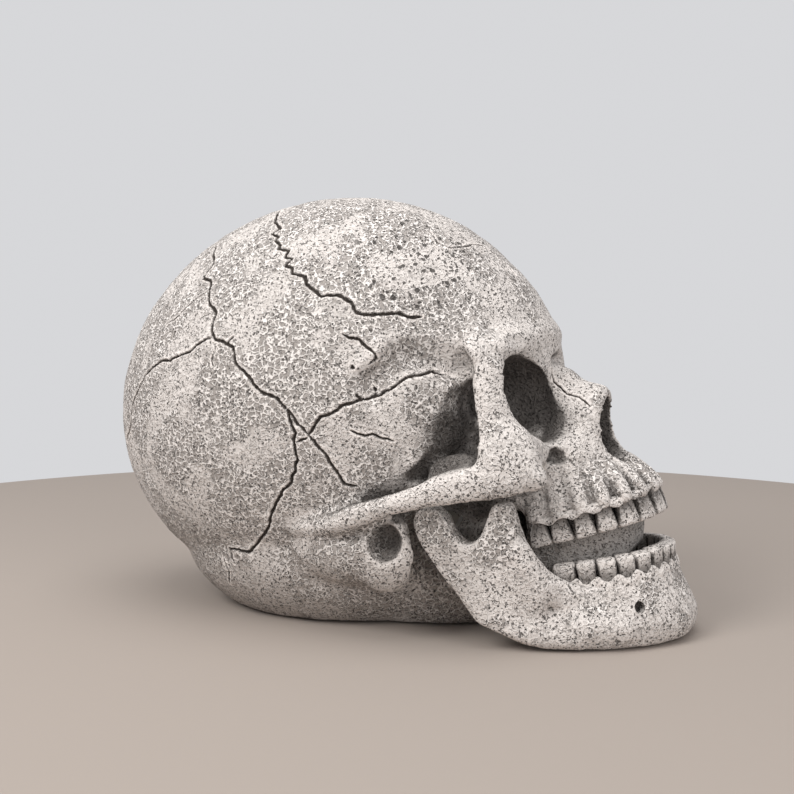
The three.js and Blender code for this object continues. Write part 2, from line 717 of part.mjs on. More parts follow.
// The curved body, from its lower border on the floor up to the gum round the teeth.
function jawBody() {
  const steps = 20;
  const gumLine = (inset) =>
    toothLine(lowerArchDepth, inset)
      .getSpacedPoints(steps)
      .map((p) => p.add(new THREE.Vector2(lowerBiteFrontX, 0)));
  const outerGum = gumLine(-gumLip);
  const innerGum = gumLine(toothThickness + gumLip);
  const edge = (inset, gum, share) => jawBorder(inset, steps).map((p, i) => p.lerp(gum[i], share));
  const levels = [
    [0, 0, 6],
    [0.1, 0, 1],
    [0.34, 0.02, 0],
    [0.55, 0.28, 0],
    [0.8, 0.78, 0],
    [1, 1, 0],
  ];
  const loops = levels.map(([rise, share, inset]) => {
    const loop = [...edge(inset, outerGum, share), ...edge(jawThickness + 2, innerGum, share).reverse()];
    return loop.map((p) => new THREE.Vector3(p.x, p.y, lowerGumAt(p.x) * rise));
  });
  return loft(loops);
}

// The slanting ridge that leads from the branch to the side of the body.
function jawRidge(side) {
  const stations = [
    [pivotX + 45, jawHalfWidth - 8, pivotZ - 8, 6, 7],
    [pivotX + 51, jawHalfWidth - 12, pivotZ - 20, 7, 8],
    [pivotX + 60, jawHalfWidth - 18, pivotZ - 30, 8, 9],
    [pivotX + 73, jawHalfWidth - 25, pivotZ - 37, 8, 8],
    [pivotX + 89, jawHalfWidth - 33, pivotZ - 40, 7, 7],
  ];
  return limb(stations, new THREE.Vector3(0, 0, 1), side);
}

function jawPlan(grow) {
  const half = jawHalfWidth + grow;
  const inner = jawInnerY - grow;
  const rear = pivotX - 20 - grow;
  const front = jawFrontX - chinThickness - grow;
  const mouth = mouthHalfWidth - grow;
  const throat = lowerBiteFrontX - lowerArchDepth + 6 - grow;
  const plan = new THREE.Shape();
  plan.moveTo(rear, -half);
  plan.lineTo(pivotX + 20, -half + 1);
  plan.bezierCurveTo(pivotX + 74, -half + 16, jawFrontX - 2, -jawHalfWidth * 0.55, jawFrontX, 0);
  plan.bezierCurveTo(jawFrontX - 2, jawHalfWidth * 0.55, pivotX + 74, half - 16, pivotX + 20, half - 1);
  plan.lineTo(rear, half);
  plan.lineTo(rear, inner);
  plan.lineTo(throat - 38, inner);
  plan.bezierCurveTo(throat - 14, inner - 4, throat - 12, mouth + 14, throat, mouth);
  plan.bezierCurveTo(front - 14, mouth - 2, front, mouth * 0.6, front, 0);
  plan.bezierCurveTo(front, -mouth * 0.6, front - 14, 2 - mouth, throat, -mouth);
  plan.bezierCurveTo(throat - 12, -mouth - 14, throat - 14, 4 - inner, throat - 38, -inner);
  plan.lineTo(rear, -inner);
  return plan;
}

function mentalHole(side) {
  return ellipsoid(3, 6, 3, place(jawFrontX - 22, side * jawHalfWidth * 0.52, jawFloorHeight + 9), 2);
}

function lowerJaw() {
  const branches = bothSides((side) => planPrism(branchPlan(side), 0, 200)).intersect(
    sidePrism(jawOutline(), jawHalfWidth + 1),
  );
  const floorWeb = planPrism(jawFloorPlan(), 0, jawFloorHeight);
  const threads = bothSides((side) =>
    crossRod(shankRadius + fitGap, side, jawInnerY - 6, jawInnerY + threadDepth + fitGap, pivotX, pivotZ),
  );
  return joined([branches, jawBody(), bothSides(jawRidge), floorWeb])
    .subtract(threads)
    .subtract(bothSides(mentalHole))
    .subtract(toothGroove(lowerBite, lowerArchDepth, lowerCrownHeight, 1));
}

function jawFloorPlan() {
  const rear = lowerBiteFrontX - lowerArchDepth - 4;
  return new THREE.Shape(jawBorder(jawThickness, 20).filter((p) => p.x > rear));
}

// The room that the upright branches need in the skull's side, at rest and dropped open.
function jawSweep() {
  const grown = sidePrism(jawOutline(), jawHalfWidth + 4).intersect(planPrism(jawPlan(branchRoom), 0, 200));
  const aboutPivot = (angle) =>
    place(pivotX, 0, pivotZ, 0, angle)
      .scale(new THREE.Vector3(1.03, 1, 1.03))
      .multiply(new THREE.Matrix4().makeTranslation(-pivotX, 0, -pivotZ));
  return joined([0, 0.35, 0.7, 1].map((share) => grown.transform(aboutPivot(jawDrop * share).elements)));
}

// The mouth block: a plain block behind the teeth that keeps the mouth open

function mouthBlock() {
  const top = upperCrownHeight - fitGap;
  const belowGum = box(400, 400, 400, place(0, 0, top - 200).premultiply(upperBite));
  const low = jawFloorHeight + fitGap;
  const upperInside = biteFrontX - toothThickness - upperCrownHeight * Math.sin(biteTilt);
  const front = Math.min(jawFrontX - chinThickness, upperInside) - blockClearance;
  const side = new THREE.Shape();
  side.moveTo(blockRearX, low);
  side.lineTo(front - blockChamfer, low);
  side.lineTo(front, lowerBiteZ - 6);
  side.lineTo(front, upperBiteZ + upperCrownHeight);
  side.lineTo(blockRearX, upperBiteZ + upperCrownHeight);
  const half = mouthHalfWidth - blockClearance;
  const plan = new THREE.Shape();
  plan.moveTo(blockRearX, -half);
  plan.lineTo(front - 26, -half + 1);
  plan.quadraticCurveTo(front - 2, -half + 4, front, 0);
  plan.quadraticCurveTo(front - 2, half - 4, front - 26, half - 1);
  plan.lineTo(blockRearX, half);
  const holes = joined(blockScrewSpots.map(([x, y]) => blockScrewRoom(x, y)));
  return sidePrism(side, half).intersect(planPrism(plan, 0, 200)).intersect(belowGum).subtract(holes);
}

const blockScrewSpots = [
  [-archDepth * 0.5, 14],
  [-archDepth * 0.5, -14],
];

function blockScrewRoom(x, y) {
  const head = solid(
    new THREE.CylinderGeometry(screwHeadRadius + fitGap, screwHeadRadius + fitGap, 60, 16).rotateX(Math.PI / 2),
    place(x, y, -30 + 2).premultiply(upperBite),
  );
  const shank = solid(
    new THREE.CylinderGeometry(screwRadius + fitGap, screwRadius + fitGap, 40, 16).rotateX(Math.PI / 2),
    place(x, y, 10).premultiply(upperBite),
  );
  return head.add(shank);
}

function blockScrew(x, y) {
  const head = solid(
    new THREE.CylinderGeometry(screwHeadRadius, screwHeadRadius, screwHeadHeight, 16).rotateX(Math.PI / 2),
    place(x, y, 2 - fitGap - screwHeadHeight / 2).premultiply(upperBite),
  );
  const shank = solid(
    new THREE.CylinderGeometry(screwRadius, screwRadius, 25, 16).rotateX(Math.PI / 2),
    place(x, y, 2 - fitGap + 12.4).premultiply(upperBite),
  );
  return head.add(shank);
}

// Materials

const stoneFinish = new THREE.MeshStandardMaterial({ color: 0xb9b0a6, roughness: 0.9, metalness: 0 });
const innerFinish = new THREE.MeshStandardMaterial({ color: 0x8d867e, roughness: 0.9, metalness: 0 });
const steel = new THREE.MeshStandardMaterial({ color: 0xb4b6b8, roughness: 0.35, metalness: 1 });
const nylon = new THREE.MeshStandardMaterial({ color: 0xe6e3da, roughness: 0.5, metalness: 0 });
const rubber = new THREE.MeshStandardMaterial({ color: 0x222222, roughness: 0.85, metalness: 0 });

// The assembly

const skull = new THREE.Group();
const jaw = new THREE.Group();
const decoration = new THREE.Group().add(skull, jaw);

const blockScrewHoles = joined(blockScrewSpots.map(([x, y]) => blockScrewRoom(x, y)));
const shell = skullShell().subtract(blockScrewHoles);
skull.add(meshOf("skull_right_half", halfShell(shell, -1), stoneFinish));
skull.add(meshOf("skull_left_half", halfShell(shell, 1), stoneFinish));
const upperTeeth = toothRow(upperBite, archDepth, upperCrownHeight, -1, upperTeethPerSide);
skull.add(meshOf("upper_tooth_row", upperTeeth, stoneFinish));
skull.add(meshOf("mouth_block", mouthBlock(), innerFinish));
skull.add(meshOf("base_plate", basePlate(), innerFinish));
jaw.add(meshOf("lower_jaw", lowerJaw(), stoneFinish));
const lowerTeeth = toothRow(lowerBite, lowerArchDepth, lowerCrownHeight, 1, lowerTeethPerSide);
jaw.add(meshOf("lower_tooth_row", lowerTeeth, stoneFinish));

for (const [name, side] of [["right", -1], ["left", 1]]) {
  skull.add(meshOf("pivot_bush_" + name, pivotBush(side), nylon));
  jaw.add(meshOf("jaw_pivot_screw_" + name, shoulderScrew(side), steel));
  jaw.add(meshOf("pivot_washer_" + name, pivotWasher(side), steel));
}
for (const [name, [x, z]] of Object.entries(dowelSpots)) {
  const pin = crossRod(dowelRadius, 1, -dowelLength / 2, dowelLength / 2, x, z);
  skull.add(meshOf("seam_dowel_" + name, pin, nylon));
}
["front_left", "front_right", "rear_left", "rear_right"].forEach((name, i) => {
  skull.add(meshOf("base_screw_" + name, screw(...screwSpots[i], screwHeadZ), steel));
});
["front", "rear_left", "rear_right"].forEach((name, i) => {
  skull.add(meshOf("rubber_foot_" + name, uprightRod(footRadius, 0, footHeight, ...footSpots[i]), rubber));
});
["left", "right"].forEach((name, i) => {
  skull.add(meshOf("mouth_block_screw_" + name, blockScrew(...blockScrewSpots[i]), steel));
});

export default decoration;
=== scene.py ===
"""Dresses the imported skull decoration: cast skin, cracks, teeth, mouth block and fittings.

Forms are sculpted in millimetres and brought to metres when they become pieces.
+X is where the face looks, +Y is the skull's left, +Z is up.
"""

import json
import logging
import math
from dataclasses import dataclass
from enum import Enum
from typing import Sequence

import bmesh
import bpy
import numpy as np
from mathutils import Euler, Matrix, Vector, noise
from mathutils.bvhtree import BVHTree
from mathutils.kdtree import KDTree


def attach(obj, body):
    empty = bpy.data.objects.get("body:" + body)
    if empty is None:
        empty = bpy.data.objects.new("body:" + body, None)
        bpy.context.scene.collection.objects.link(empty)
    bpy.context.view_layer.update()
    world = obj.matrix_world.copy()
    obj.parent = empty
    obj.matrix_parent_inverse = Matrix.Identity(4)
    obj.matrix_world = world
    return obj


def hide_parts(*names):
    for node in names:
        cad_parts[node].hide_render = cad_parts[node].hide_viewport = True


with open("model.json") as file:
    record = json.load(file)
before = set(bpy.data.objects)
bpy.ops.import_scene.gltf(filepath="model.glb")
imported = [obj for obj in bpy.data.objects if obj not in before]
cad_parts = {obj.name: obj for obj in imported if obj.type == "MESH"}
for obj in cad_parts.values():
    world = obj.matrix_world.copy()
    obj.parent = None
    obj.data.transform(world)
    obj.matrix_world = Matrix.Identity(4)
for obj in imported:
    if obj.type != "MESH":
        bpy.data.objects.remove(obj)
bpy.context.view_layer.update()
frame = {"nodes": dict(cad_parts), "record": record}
LOG = logging.getLogger("skull")
MM = 0.001
NOISE_SEED = 7

Triple = tuple[float, float, float]
Pair = tuple[float, float]


class Side(Enum):
    """The two sides of the skull, by the sign of Y."""

    RIGHT = -1
    LEFT = 1

    def out(self, x: float, y: float, z: float) -> Vector:
        """Returns a point that lies y out from the mid plane on this side."""
        return Vector((x, self.value * y, z))


class Body(Enum):
    """The moving bodies of the frame."""

    SKULL = "skull"
    JAW = "jaw"


def smooth_step(low: float, high: float, value: np.ndarray) -> np.ndarray:
    """Returns 0 below low, 1 above high and a smooth rise between them."""
    share = np.clip((value - low) / (high - low), 0.0, 1.0)
    return share * share * (3.0 - 2.0 * share)


@dataclass(frozen=True)
class Egg:
    """An egg-shaped mass or hollow.

    centre holds x, the distance out from the mid plane, and z. half holds the half sizes,
    and turn the degrees about X, Y and Z on the left side, mirrored on the right one.
    """

    centre: Triple
    half: Triple
    turn: Triple = (0.0, 0.0, 0.0)

    def add(self, bm: bmesh.types.BMesh, side: Side = Side.LEFT, detail: int = 5) -> None:
        """Adds the egg to a mesh.

        Args:
            bm: the mesh to add to.
            side: the side of the skull that the egg lies on.
            detail: the number of icosphere subdivisions.
        """
        rx, ry, rz = (math.radians(a) for a in self.turn)
        spin = Euler((side.value * rx, ry, side.value * rz)).to_matrix().to_4x4()
        place = Matrix.Translation(side.out(*self.centre)) @ spin @ Matrix.Diagonal((*self.half, 1.0))
        bmesh.ops.create_icosphere(bm, subdivisions=detail, radius=1.0, matrix=place)


@dataclass(frozen=True)
class Limb:
    """A bar of bone through stations of x, distance out, z, half width and half height."""

    stations: tuple[tuple[float, float, float, float, float], ...]
    up: Triple = (0.0, 0.0, 1.0)

    def add(self, bm: bmesh.types.BMesh, side: Side = Side.LEFT, segments: int = 24) -> None:
        """Adds the bar to a mesh as rings that are bridged and capped.

        Args:
            bm: the mesh to add to.
            side: the side of the skull that the bar lies on.
            segments: the number of points on each ring.
        """
        spots = [side.out(*s[:3]) for s in self.stations]
        places = []
        for i, station in enumerate(self.stations):
            along = (spots[min(i + 1, len(spots) - 1)] - spots[max(i - 1, 0)]).normalized()
            across = along.cross(side.out(*self.up)).normalized()
            rise = across.cross(along).normalized()
            turn = Matrix((across, rise, along)).transposed().to_4x4()
            size = Matrix.Diagonal((station[3], station[4], 1.0, 1.0))
            places.append(Matrix.Translation(spots[i]) @ turn @ size)
        skin_rings(bm, places, segments)


@dataclass(frozen=True)
class Stack:
    """Oval rings one above the other, each by its front x, front z, half length, half width and tilt."""

    rings: tuple[tuple[float, float, float, float, float], ...]

    def add(self, bm: bmesh.types.BMesh, segments: int = 48) -> None:
        """Adds the stack to a mesh as rings that are bridged and capped.

        Args:
            bm: the mesh to add to.
            segments: the number of points on each ring.
        """
        places = []
        for front_x, front_z, half_length, half_width, tilt in self.rings:
            turn = Matrix.Rotation(math.radians(-tilt), 4, "Y")
            back = Matrix.Translation((-half_length, 0.0, 0.0))
            size = Matrix.Diagonal((half_length, half_width, 1.0, 1.0))
            places.append(Matrix.Translation((front_x, 0.0, front_z)) @ turn @ back @ size)
        skin_rings(bm, places, segments)


@dataclass(frozen=True)
class Bowl:
    """A hollow behind a drawn rim, which narrows like a bowl towards a point inside."""

    rim: tuple[Triple, ...]
    apex: Triple
    fullness: float = 2.0
    flare: float = 0.5
    belly: float = 0.0
    depths: tuple[float, ...] = (-0.8, -0.35, -0.12, 0.0, 0.06, 0.15, 0.35, 0.55, 0.75, 0.9, 0.98)

    def add(self, bm: bmesh.types.BMesh, side: Side = Side.LEFT) -> None:
        """Adds the hollow to a mesh as a closed cutting form.

        Args:
            bm: the mesh to add to.
            side: the side of the skull that the hollow lies on.
        """
        rim = np.array([side.out(*p) for p in rounded_path(self.rim, 5)])
        middle = rim.mean(0)
        axis = np.array(side.out(*self.apex)) - middle
        loops = []
        for depth in self.depths:
            size = 1.0 - self.flare * depth
            if depth > 0.0:
                size = (1.0 - depth**self.fullness) ** (1.0 / self.fullness)
                size *= 1.0 + self.belly * math.sin(math.pi * min(1.0, 2.5 * depth))
            loops.append(middle + axis * depth + (rim - middle) * size)
        skin_loops(bm, loops)


def skin_loops(bm: bmesh.types.BMesh, loops: Sequence[np.ndarray]) -> None:
    """Bridges closed loops of points in order and caps both ends.

    Args:
        bm: the mesh to add to.
        loops: the points of each loop, one per row, with as many rows in each.
    """
    rings = [[bm.verts.new(p) for p in loop] for loop in loops]
    faces = [bm.faces.new(rings[0]), bm.faces.new(rings[-1])]
    for lower, upper in zip(rings, rings[1:]):
        for i, vert in enumerate(lower):
            faces.append(bm.faces.new((lower[i - 1], vert, upper[i], upper[i - 1])))
    bmesh.ops.recalc_face_normals(bm, faces=faces)


def skin_rings(bm: bmesh.types.BMesh, places: Sequence[Matrix], segments: int) -> None:
    """Draws a unit circle at each place, bridges them in order and caps both ends.

    Args:
        bm: the mesh to add to.
        places: the matrix of each ring, from one end to the other.
        segments: the number of points on each ring.
    """
    rings = []
    faces: list[bmesh.types.BMFace] = []
    for i, place in enumerate(places):
        capped = i in (0, len(places) - 1)
        made = bmesh.ops.create_circle(bm, cap_ends=capped, segments=segments, radius=1.0, matrix=place)
        rings.append(sorted({e for v in made["verts"] for e in v.link_edges}, key=lambda e: e.index))
        faces += [f for v in made["verts"] for f in v.link_faces]
    for lower, upper in zip(rings, rings[1:]):
        faces += bmesh.ops.bridge_loops(bm, edges=lower + upper)["faces"]
    bmesh.ops.recalc_face_normals(bm, faces=list(set(faces)))


def add_prism(bm: bmesh.types.BMesh, outline: Sequence[Vector], depth: Vector) -> None:
    """Adds a closed prism of an outline, drawn out along a direction.

    Args:
        bm: the mesh to add to.
        outline: the corners of one end.
        depth: the way from that end to the other.
    """
    base = bm.faces.new([bm.verts.new(p) for p in outline])
    made = bmesh.ops.extrude_face_region(bm, geom=[base], use_keep_orig=True)
    moved = [g for g in made["geom"] if isinstance(g, bmesh.types.BMVert)]
    bmesh.ops.translate(bm, verts=moved, vec=depth)
    faces = {base} | {f for v in moved for f in v.link_faces}
    bmesh.ops.recalc_face_normals(bm, faces=list(faces))


def rounded_path(
    corners: Sequence[tuple[float, ...]], steps: int = 6, closed: bool = True
) -> list[tuple[float, ...]]:
    """Returns a smooth curve through the corners of an outline, flat or in space.

    Args:
        corners: the points that the curve passes through.
        steps: the number of points from one corner to the next.
        closed: whether the curve returns to its first corner.

    Returns:
        The points of the curve, without the first one repeated.
    """
    spots = np.array(corners, float)
    if not closed:
        spots = np.vstack([spots, 2 * spots[-1] - spots[-2], 2 * spots[0] - spots[1]])
    before, after = np.roll(spots, 1, 0), np.roll(spots, -1, 0)
    later = np.roll(spots, -2, 0)
    path = []
    for t in np.arange(steps) / steps:
        bend = (
            (2 * spots)
            + (after - before) * t
            + (2 * before - 5 * spots + 4 * after - later) * t**2
            + (3 * spots - before - 3 * after + later) * t**3
        ) / 2
        path.append(bend)
    curve = np.stack(path, 1).reshape(-1, spots.shape[1])
    if not closed:
        curve = curve[: (len(corners) - 1) * steps + 1]
    return [tuple(p) for p in curve]


@dataclass(frozen=True)
class Dab:
    """One stroke of a sculpting brush: a soft push over an egg-shaped reach."""

    centre: Triple
    reach: Triple
    push: Triple

    def moved(self, points: np.ndarray, side: Side) -> np.ndarray:
        """Returns the points after the stroke on one side of the skull.

        Args:
            points: the points, one per row.
            side: the side that the stroke is made on.
        """
        mirror = np.array((1.0, side.value, 1.0))
        gap = (points - np.array(self.centre) * mirror) / np.array(self.reach)
        share = np.clip(1.0 - (gap * gap).sum(1), 0.0, 1.0) ** 2
        return points + share[:, None] * np.array(self.push) * mirror


@dataclass(frozen=True)
class ShadeAndDirtPatch:
    """Painted shade and dirt round a place, by its middle, its reach and its strength."""

    middle: Triple
    reach: float
    strength: float = 0.8

    def on(self, points: np.ndarray) -> np.ndarray:
        """Returns the painted shade and dirt on each point, on both sides of the head."""
        folded = np.stack([points[:, 0], np.abs(points[:, 1]), points[:, 2]], 1)
        gap = np.linalg.norm(folded - np.array(self.middle), axis=1)
        return self.strength * smooth_step(self.reach, self.reach * 0.45, gap)


@dataclass(frozen=True)
class Stroke:
    """A ridge or a valley along a line: the skin moves out or in along its own normal."""

    path: tuple[Triple, ...]
    reach: float
    push: float

    def moved(self, points: np.ndarray, normals: np.ndarray, side: Side) -> np.ndarray:
        """Returns the points after the stroke on one side of the skull.

        Args:
            points: the points, one per row.
            normals: their normals.
            side: the side that the stroke is made on.
        """
        line = np.array([side.out(*p) for p in self.path])
        inside = ((points > line.min(0) - self.reach) & (points < line.max(0) + self.reach)).all(1)
        near = points[inside]
        gap = np.full(len(near), np.inf)
        for start, end in zip(line, line[1:]):
            way = end - start
            share = np.clip(((near - start) @ way) / (way @ way), 0.0, 1.0)
            gap = np.minimum(gap, np.linalg.norm(near - start - share[:, None] * way, axis=1))
        weight = np.clip(1.0 - (gap / self.reach) ** 2, 0.0, 1.0) ** 2
        moved = points.copy()
        moved[inside] += normals[inside] * (self.push * weight)[:, None]
        return moved


class Clay:
    """A mesh that is being sculpted, in millimetres."""

    def __init__(self) -> None:
        """Starts with an empty mesh."""
        self.bm = bmesh.new()

    def _through(self, kind: str, **settings: object) -> None:
        """Runs the mesh through one modifier."""
        mesh = bpy.data.meshes.new("clay")
        self.bm.to_mesh(mesh)
        body = bpy.data.objects.new("clay", mesh)
        bpy.context.scene.collection.objects.link(body)
        modifier = body.modifiers.new("step", kind)
        for name, value in settings.items():
            setattr(modifier, name, value)
        graph = bpy.context.evaluated_depsgraph_get()
        result = bpy.data.meshes.new_from_object(body.evaluated_get(graph))
        self.bm.clear()
        self.bm.from_mesh(result)
        bpy.data.objects.remove(body)
        bpy.data.meshes.remove(mesh)
        bpy.data.meshes.remove(result)

    def fuse(self, voxel: float) -> None:
        """Melts all that is in the mesh into one skin of even faces."""
        self._through("REMESH", mode="VOXEL", voxel_size=voxel)

    def thin(self, share: float) -> None:
        """Drops the faces that carry the least form and keeps a share of all."""
        self._through("DECIMATE", ratio=share)

    def take(self, other: "Clay") -> None:
        """Adds another form to this one, which is used up."""
        mesh = bpy.data.meshes.new("other")
        other.bm.to_mesh(mesh)
        other.bm.free()
        self.bm.from_mesh(mesh)
        bpy.data.meshes.remove(mesh)

    def cut(self, tool: "Clay", operation: str = "DIFFERENCE") -> None:
        """Takes another form away from this one, or keeps what both share.

        Args:
            tool: the other form, which is used up.
            operation: the boolean operation.
        """
        mesh = bpy.data.meshes.new("tool")
        tool.bm.to_mesh(mesh)
        tool.bm.free()
        body = bpy.data.objects.new("tool", mesh)
        bpy.context.scene.collection.objects.link(body)
        self._through("BOOLEAN", operation=operation, solver="MANIFOLD", object=body)
        bpy.data.objects.remove(body)
        bpy.data.meshes.remove(mesh)

    def smooth(self, times: int, factor: float = 0.5, where: np.ndarray | None = None) -> None:
        """Relaxes the skin.

        Args:
            times: the number of passes.
            factor: how far each pass goes.
            where: a mask of the points to relax, or none for all.
        """
        verts = list(self.bm.verts)
        if where is not None:
            verts = [v for v, on in zip(verts, where) if on]
        for _ in range(times):
            bmesh.ops.smooth_vert(
                self.bm, verts=verts, factor=factor, use_axis_x=True, use_axis_y=True, use_axis_z=True
            )

    def points(self) -> np.ndarray:
        """Returns the points of the mesh, one per row."""
        return np.array([v.co for v in self.bm.verts])

    def normals(self) -> np.ndarray:
        """Returns the normals of the points, one per row."""
        self.bm.normal_update()
        return np.array([v.normal for v in self.bm.verts])

    def put(self, points: np.ndarray) -> None:
        """Moves the points of the mesh."""
        for vert, spot in zip(self.bm.verts, points):
            vert.co = spot

    def sculpt(self, dabs: Sequence[Dab] = (), strokes: Sequence[Stroke] = ()) -> None:
        """Makes soft pushes, then drawn ridges and valleys, on both sides.

        Args:
            dabs: the soft pushes.
            strokes: the ridges and valleys.
        """
        points = self.points()
        for dab in dabs:
            for side in Side:
                points = dab.moved(points, side)
        self.put(points)
        normals = self.normals()
        for stroke in strokes:
            for side in Side:
                points = stroke.moved(points, normals, side)
        self.put(points)

    def refine(self, where: np.ndarray) -> None:
        """Halves the edges between marked points.

        Args:
            where: a mask of the points, in the order of the mesh.
        """
        close = {v for v, on in zip(self.bm.verts, where) if on}
        edges = [e for e in self.bm.edges if e.verts[0] in close and e.verts[1] in close]
        bmesh.ops.subdivide_edges(self.bm, edges=edges, cuts=1, use_grid_fill=True)

    def level(self, floor: float) -> None:
        """Brings what lies below a height up to it."""
        points = self.points()
        points[:, 2] = np.maximum(points[:, 2], floor)
        self.put(points)

    def roughen(self, layers: Sequence[Pair], shift: float = 0.0) -> None:
        """Moves the skin out and in by soft noises.

        Args:
            layers: the size of the lumps and their height, for each noise.
            shift: picks another part of the noises.
        """
        points, normals = self.points(), self.normals()
        start = Vector((shift, 0.0, 0.0))
        push = np.zeros(len(points))
        for size, height in layers:
            push += [noise.noise(Vector(p) / size + start) * height for p in points]
        self.put(points + normals * push[:, None])

    def paint(self, name: str, values: np.ndarray) -> None:
        """Stores one value per point for the finish to read."""
        layer = self.bm.verts.layers.float.get(name) or self.bm.verts.layers.float.new(name)
        for vert, value in zip(self.bm.verts, values):
            vert[layer] = float(value)

    def weather(self, dirt_and_shade: np.ndarray, worn: np.ndarray) -> None:
        """Stores the painted shade and dirt and the wear of each point, and that no crack runs there."""
        for name, values in (("dirt_and_shade", dirt_and_shade), ("worn", worn), ("crack", np.zeros(len(dirt_and_shade)))):
            self.paint(name, values)

    def hollowness(self, passes: int) -> np.ndarray:
        """Returns how far each point lies below its relaxed surroundings, in millimetres.

        Args:
            passes: the number of relaxing passes, which sets the width of what counts.
        """
        points, normals = self.points(), self.normals()
        self.bm.verts.index_update()
        ends = np.array([(e.verts[0].index, e.verts[1].index) for e in self.bm.edges])
        count = np.maximum(np.bincount(ends.ravel(), minlength=len(points)), 1)
        soft = points.copy()
        for _ in range(passes):
            total = np.stack(
                [
                    np.bincount(ends[:, 0], soft[ends[:, 1], k], len(points))
                    + np.bincount(ends[:, 1], soft[ends[:, 0], k], len(points))
                    for k in range(3)
                ],
                1,
            )
            soft = 0.4 * soft + 0.6 * total / count[:, None]
        return ((soft - points) * normals).sum(1)

    def shelter(self, rays: int = 14, reach: float = 60.0) -> np.ndarray:
        """Returns the share of the sky that other parts of the form hide from each point.

        Args:
            rays: the number of directions that are tried at each point.
            reach: how far away something still hides the sky.
        """
        tree = BVHTree.FromBMesh(self.bm)
        turn = math.pi * (3.0 - math.sqrt(5.0))
        aims = []
        for i in range(2 * rays):
            z = 1.0 - (2 * i + 1) / (2 * rays)
            flat = Vector((math.cos(turn * i), math.sin(turn * i), 0.0))
            aims.append(flat * math.sqrt(1 - z * z) + Vector((0, 0, z)))
        hidden = np.zeros(len(self.bm.verts))
        for k, vert in enumerate(self.bm.verts):
            start = vert.co + vert.normal * 0.6
            total = shut = 0.0
            for aim in aims:
                facing = aim.dot(vert.normal)
                if facing > 0.1:
                    total += facing
                    if tree.ray_cast(start, aim, reach)[0] is not None:
                        shut += facing
            hidden[k] = shut / max(total, 0.1)
        return hidden

    def piece(self, name: str, material: bpy.types.Material) -> bpy.types.Object:
        """Turns the form into a finished object in metres.

        Args:
            name: the object's name.
            material: its finish.

        Returns:
            The new object.
        """
        bmesh.ops.triangulate(self.bm, faces=[f for f in self.bm.faces if len(f.verts) > 4])
        for face in self.bm.faces:
            face.smooth = True
        bmesh.ops.scale(self.bm, vec=(MM, MM, MM), verts=self.bm.verts)
        mesh = bpy.data.meshes.new(name)
        self.bm.to_mesh(mesh)
        self.bm.free()
        mesh.materials.append(material)
        made = bpy.data.objects.new(name, mesh)
        bpy.context.scene.collection.objects.link(made)
        return made


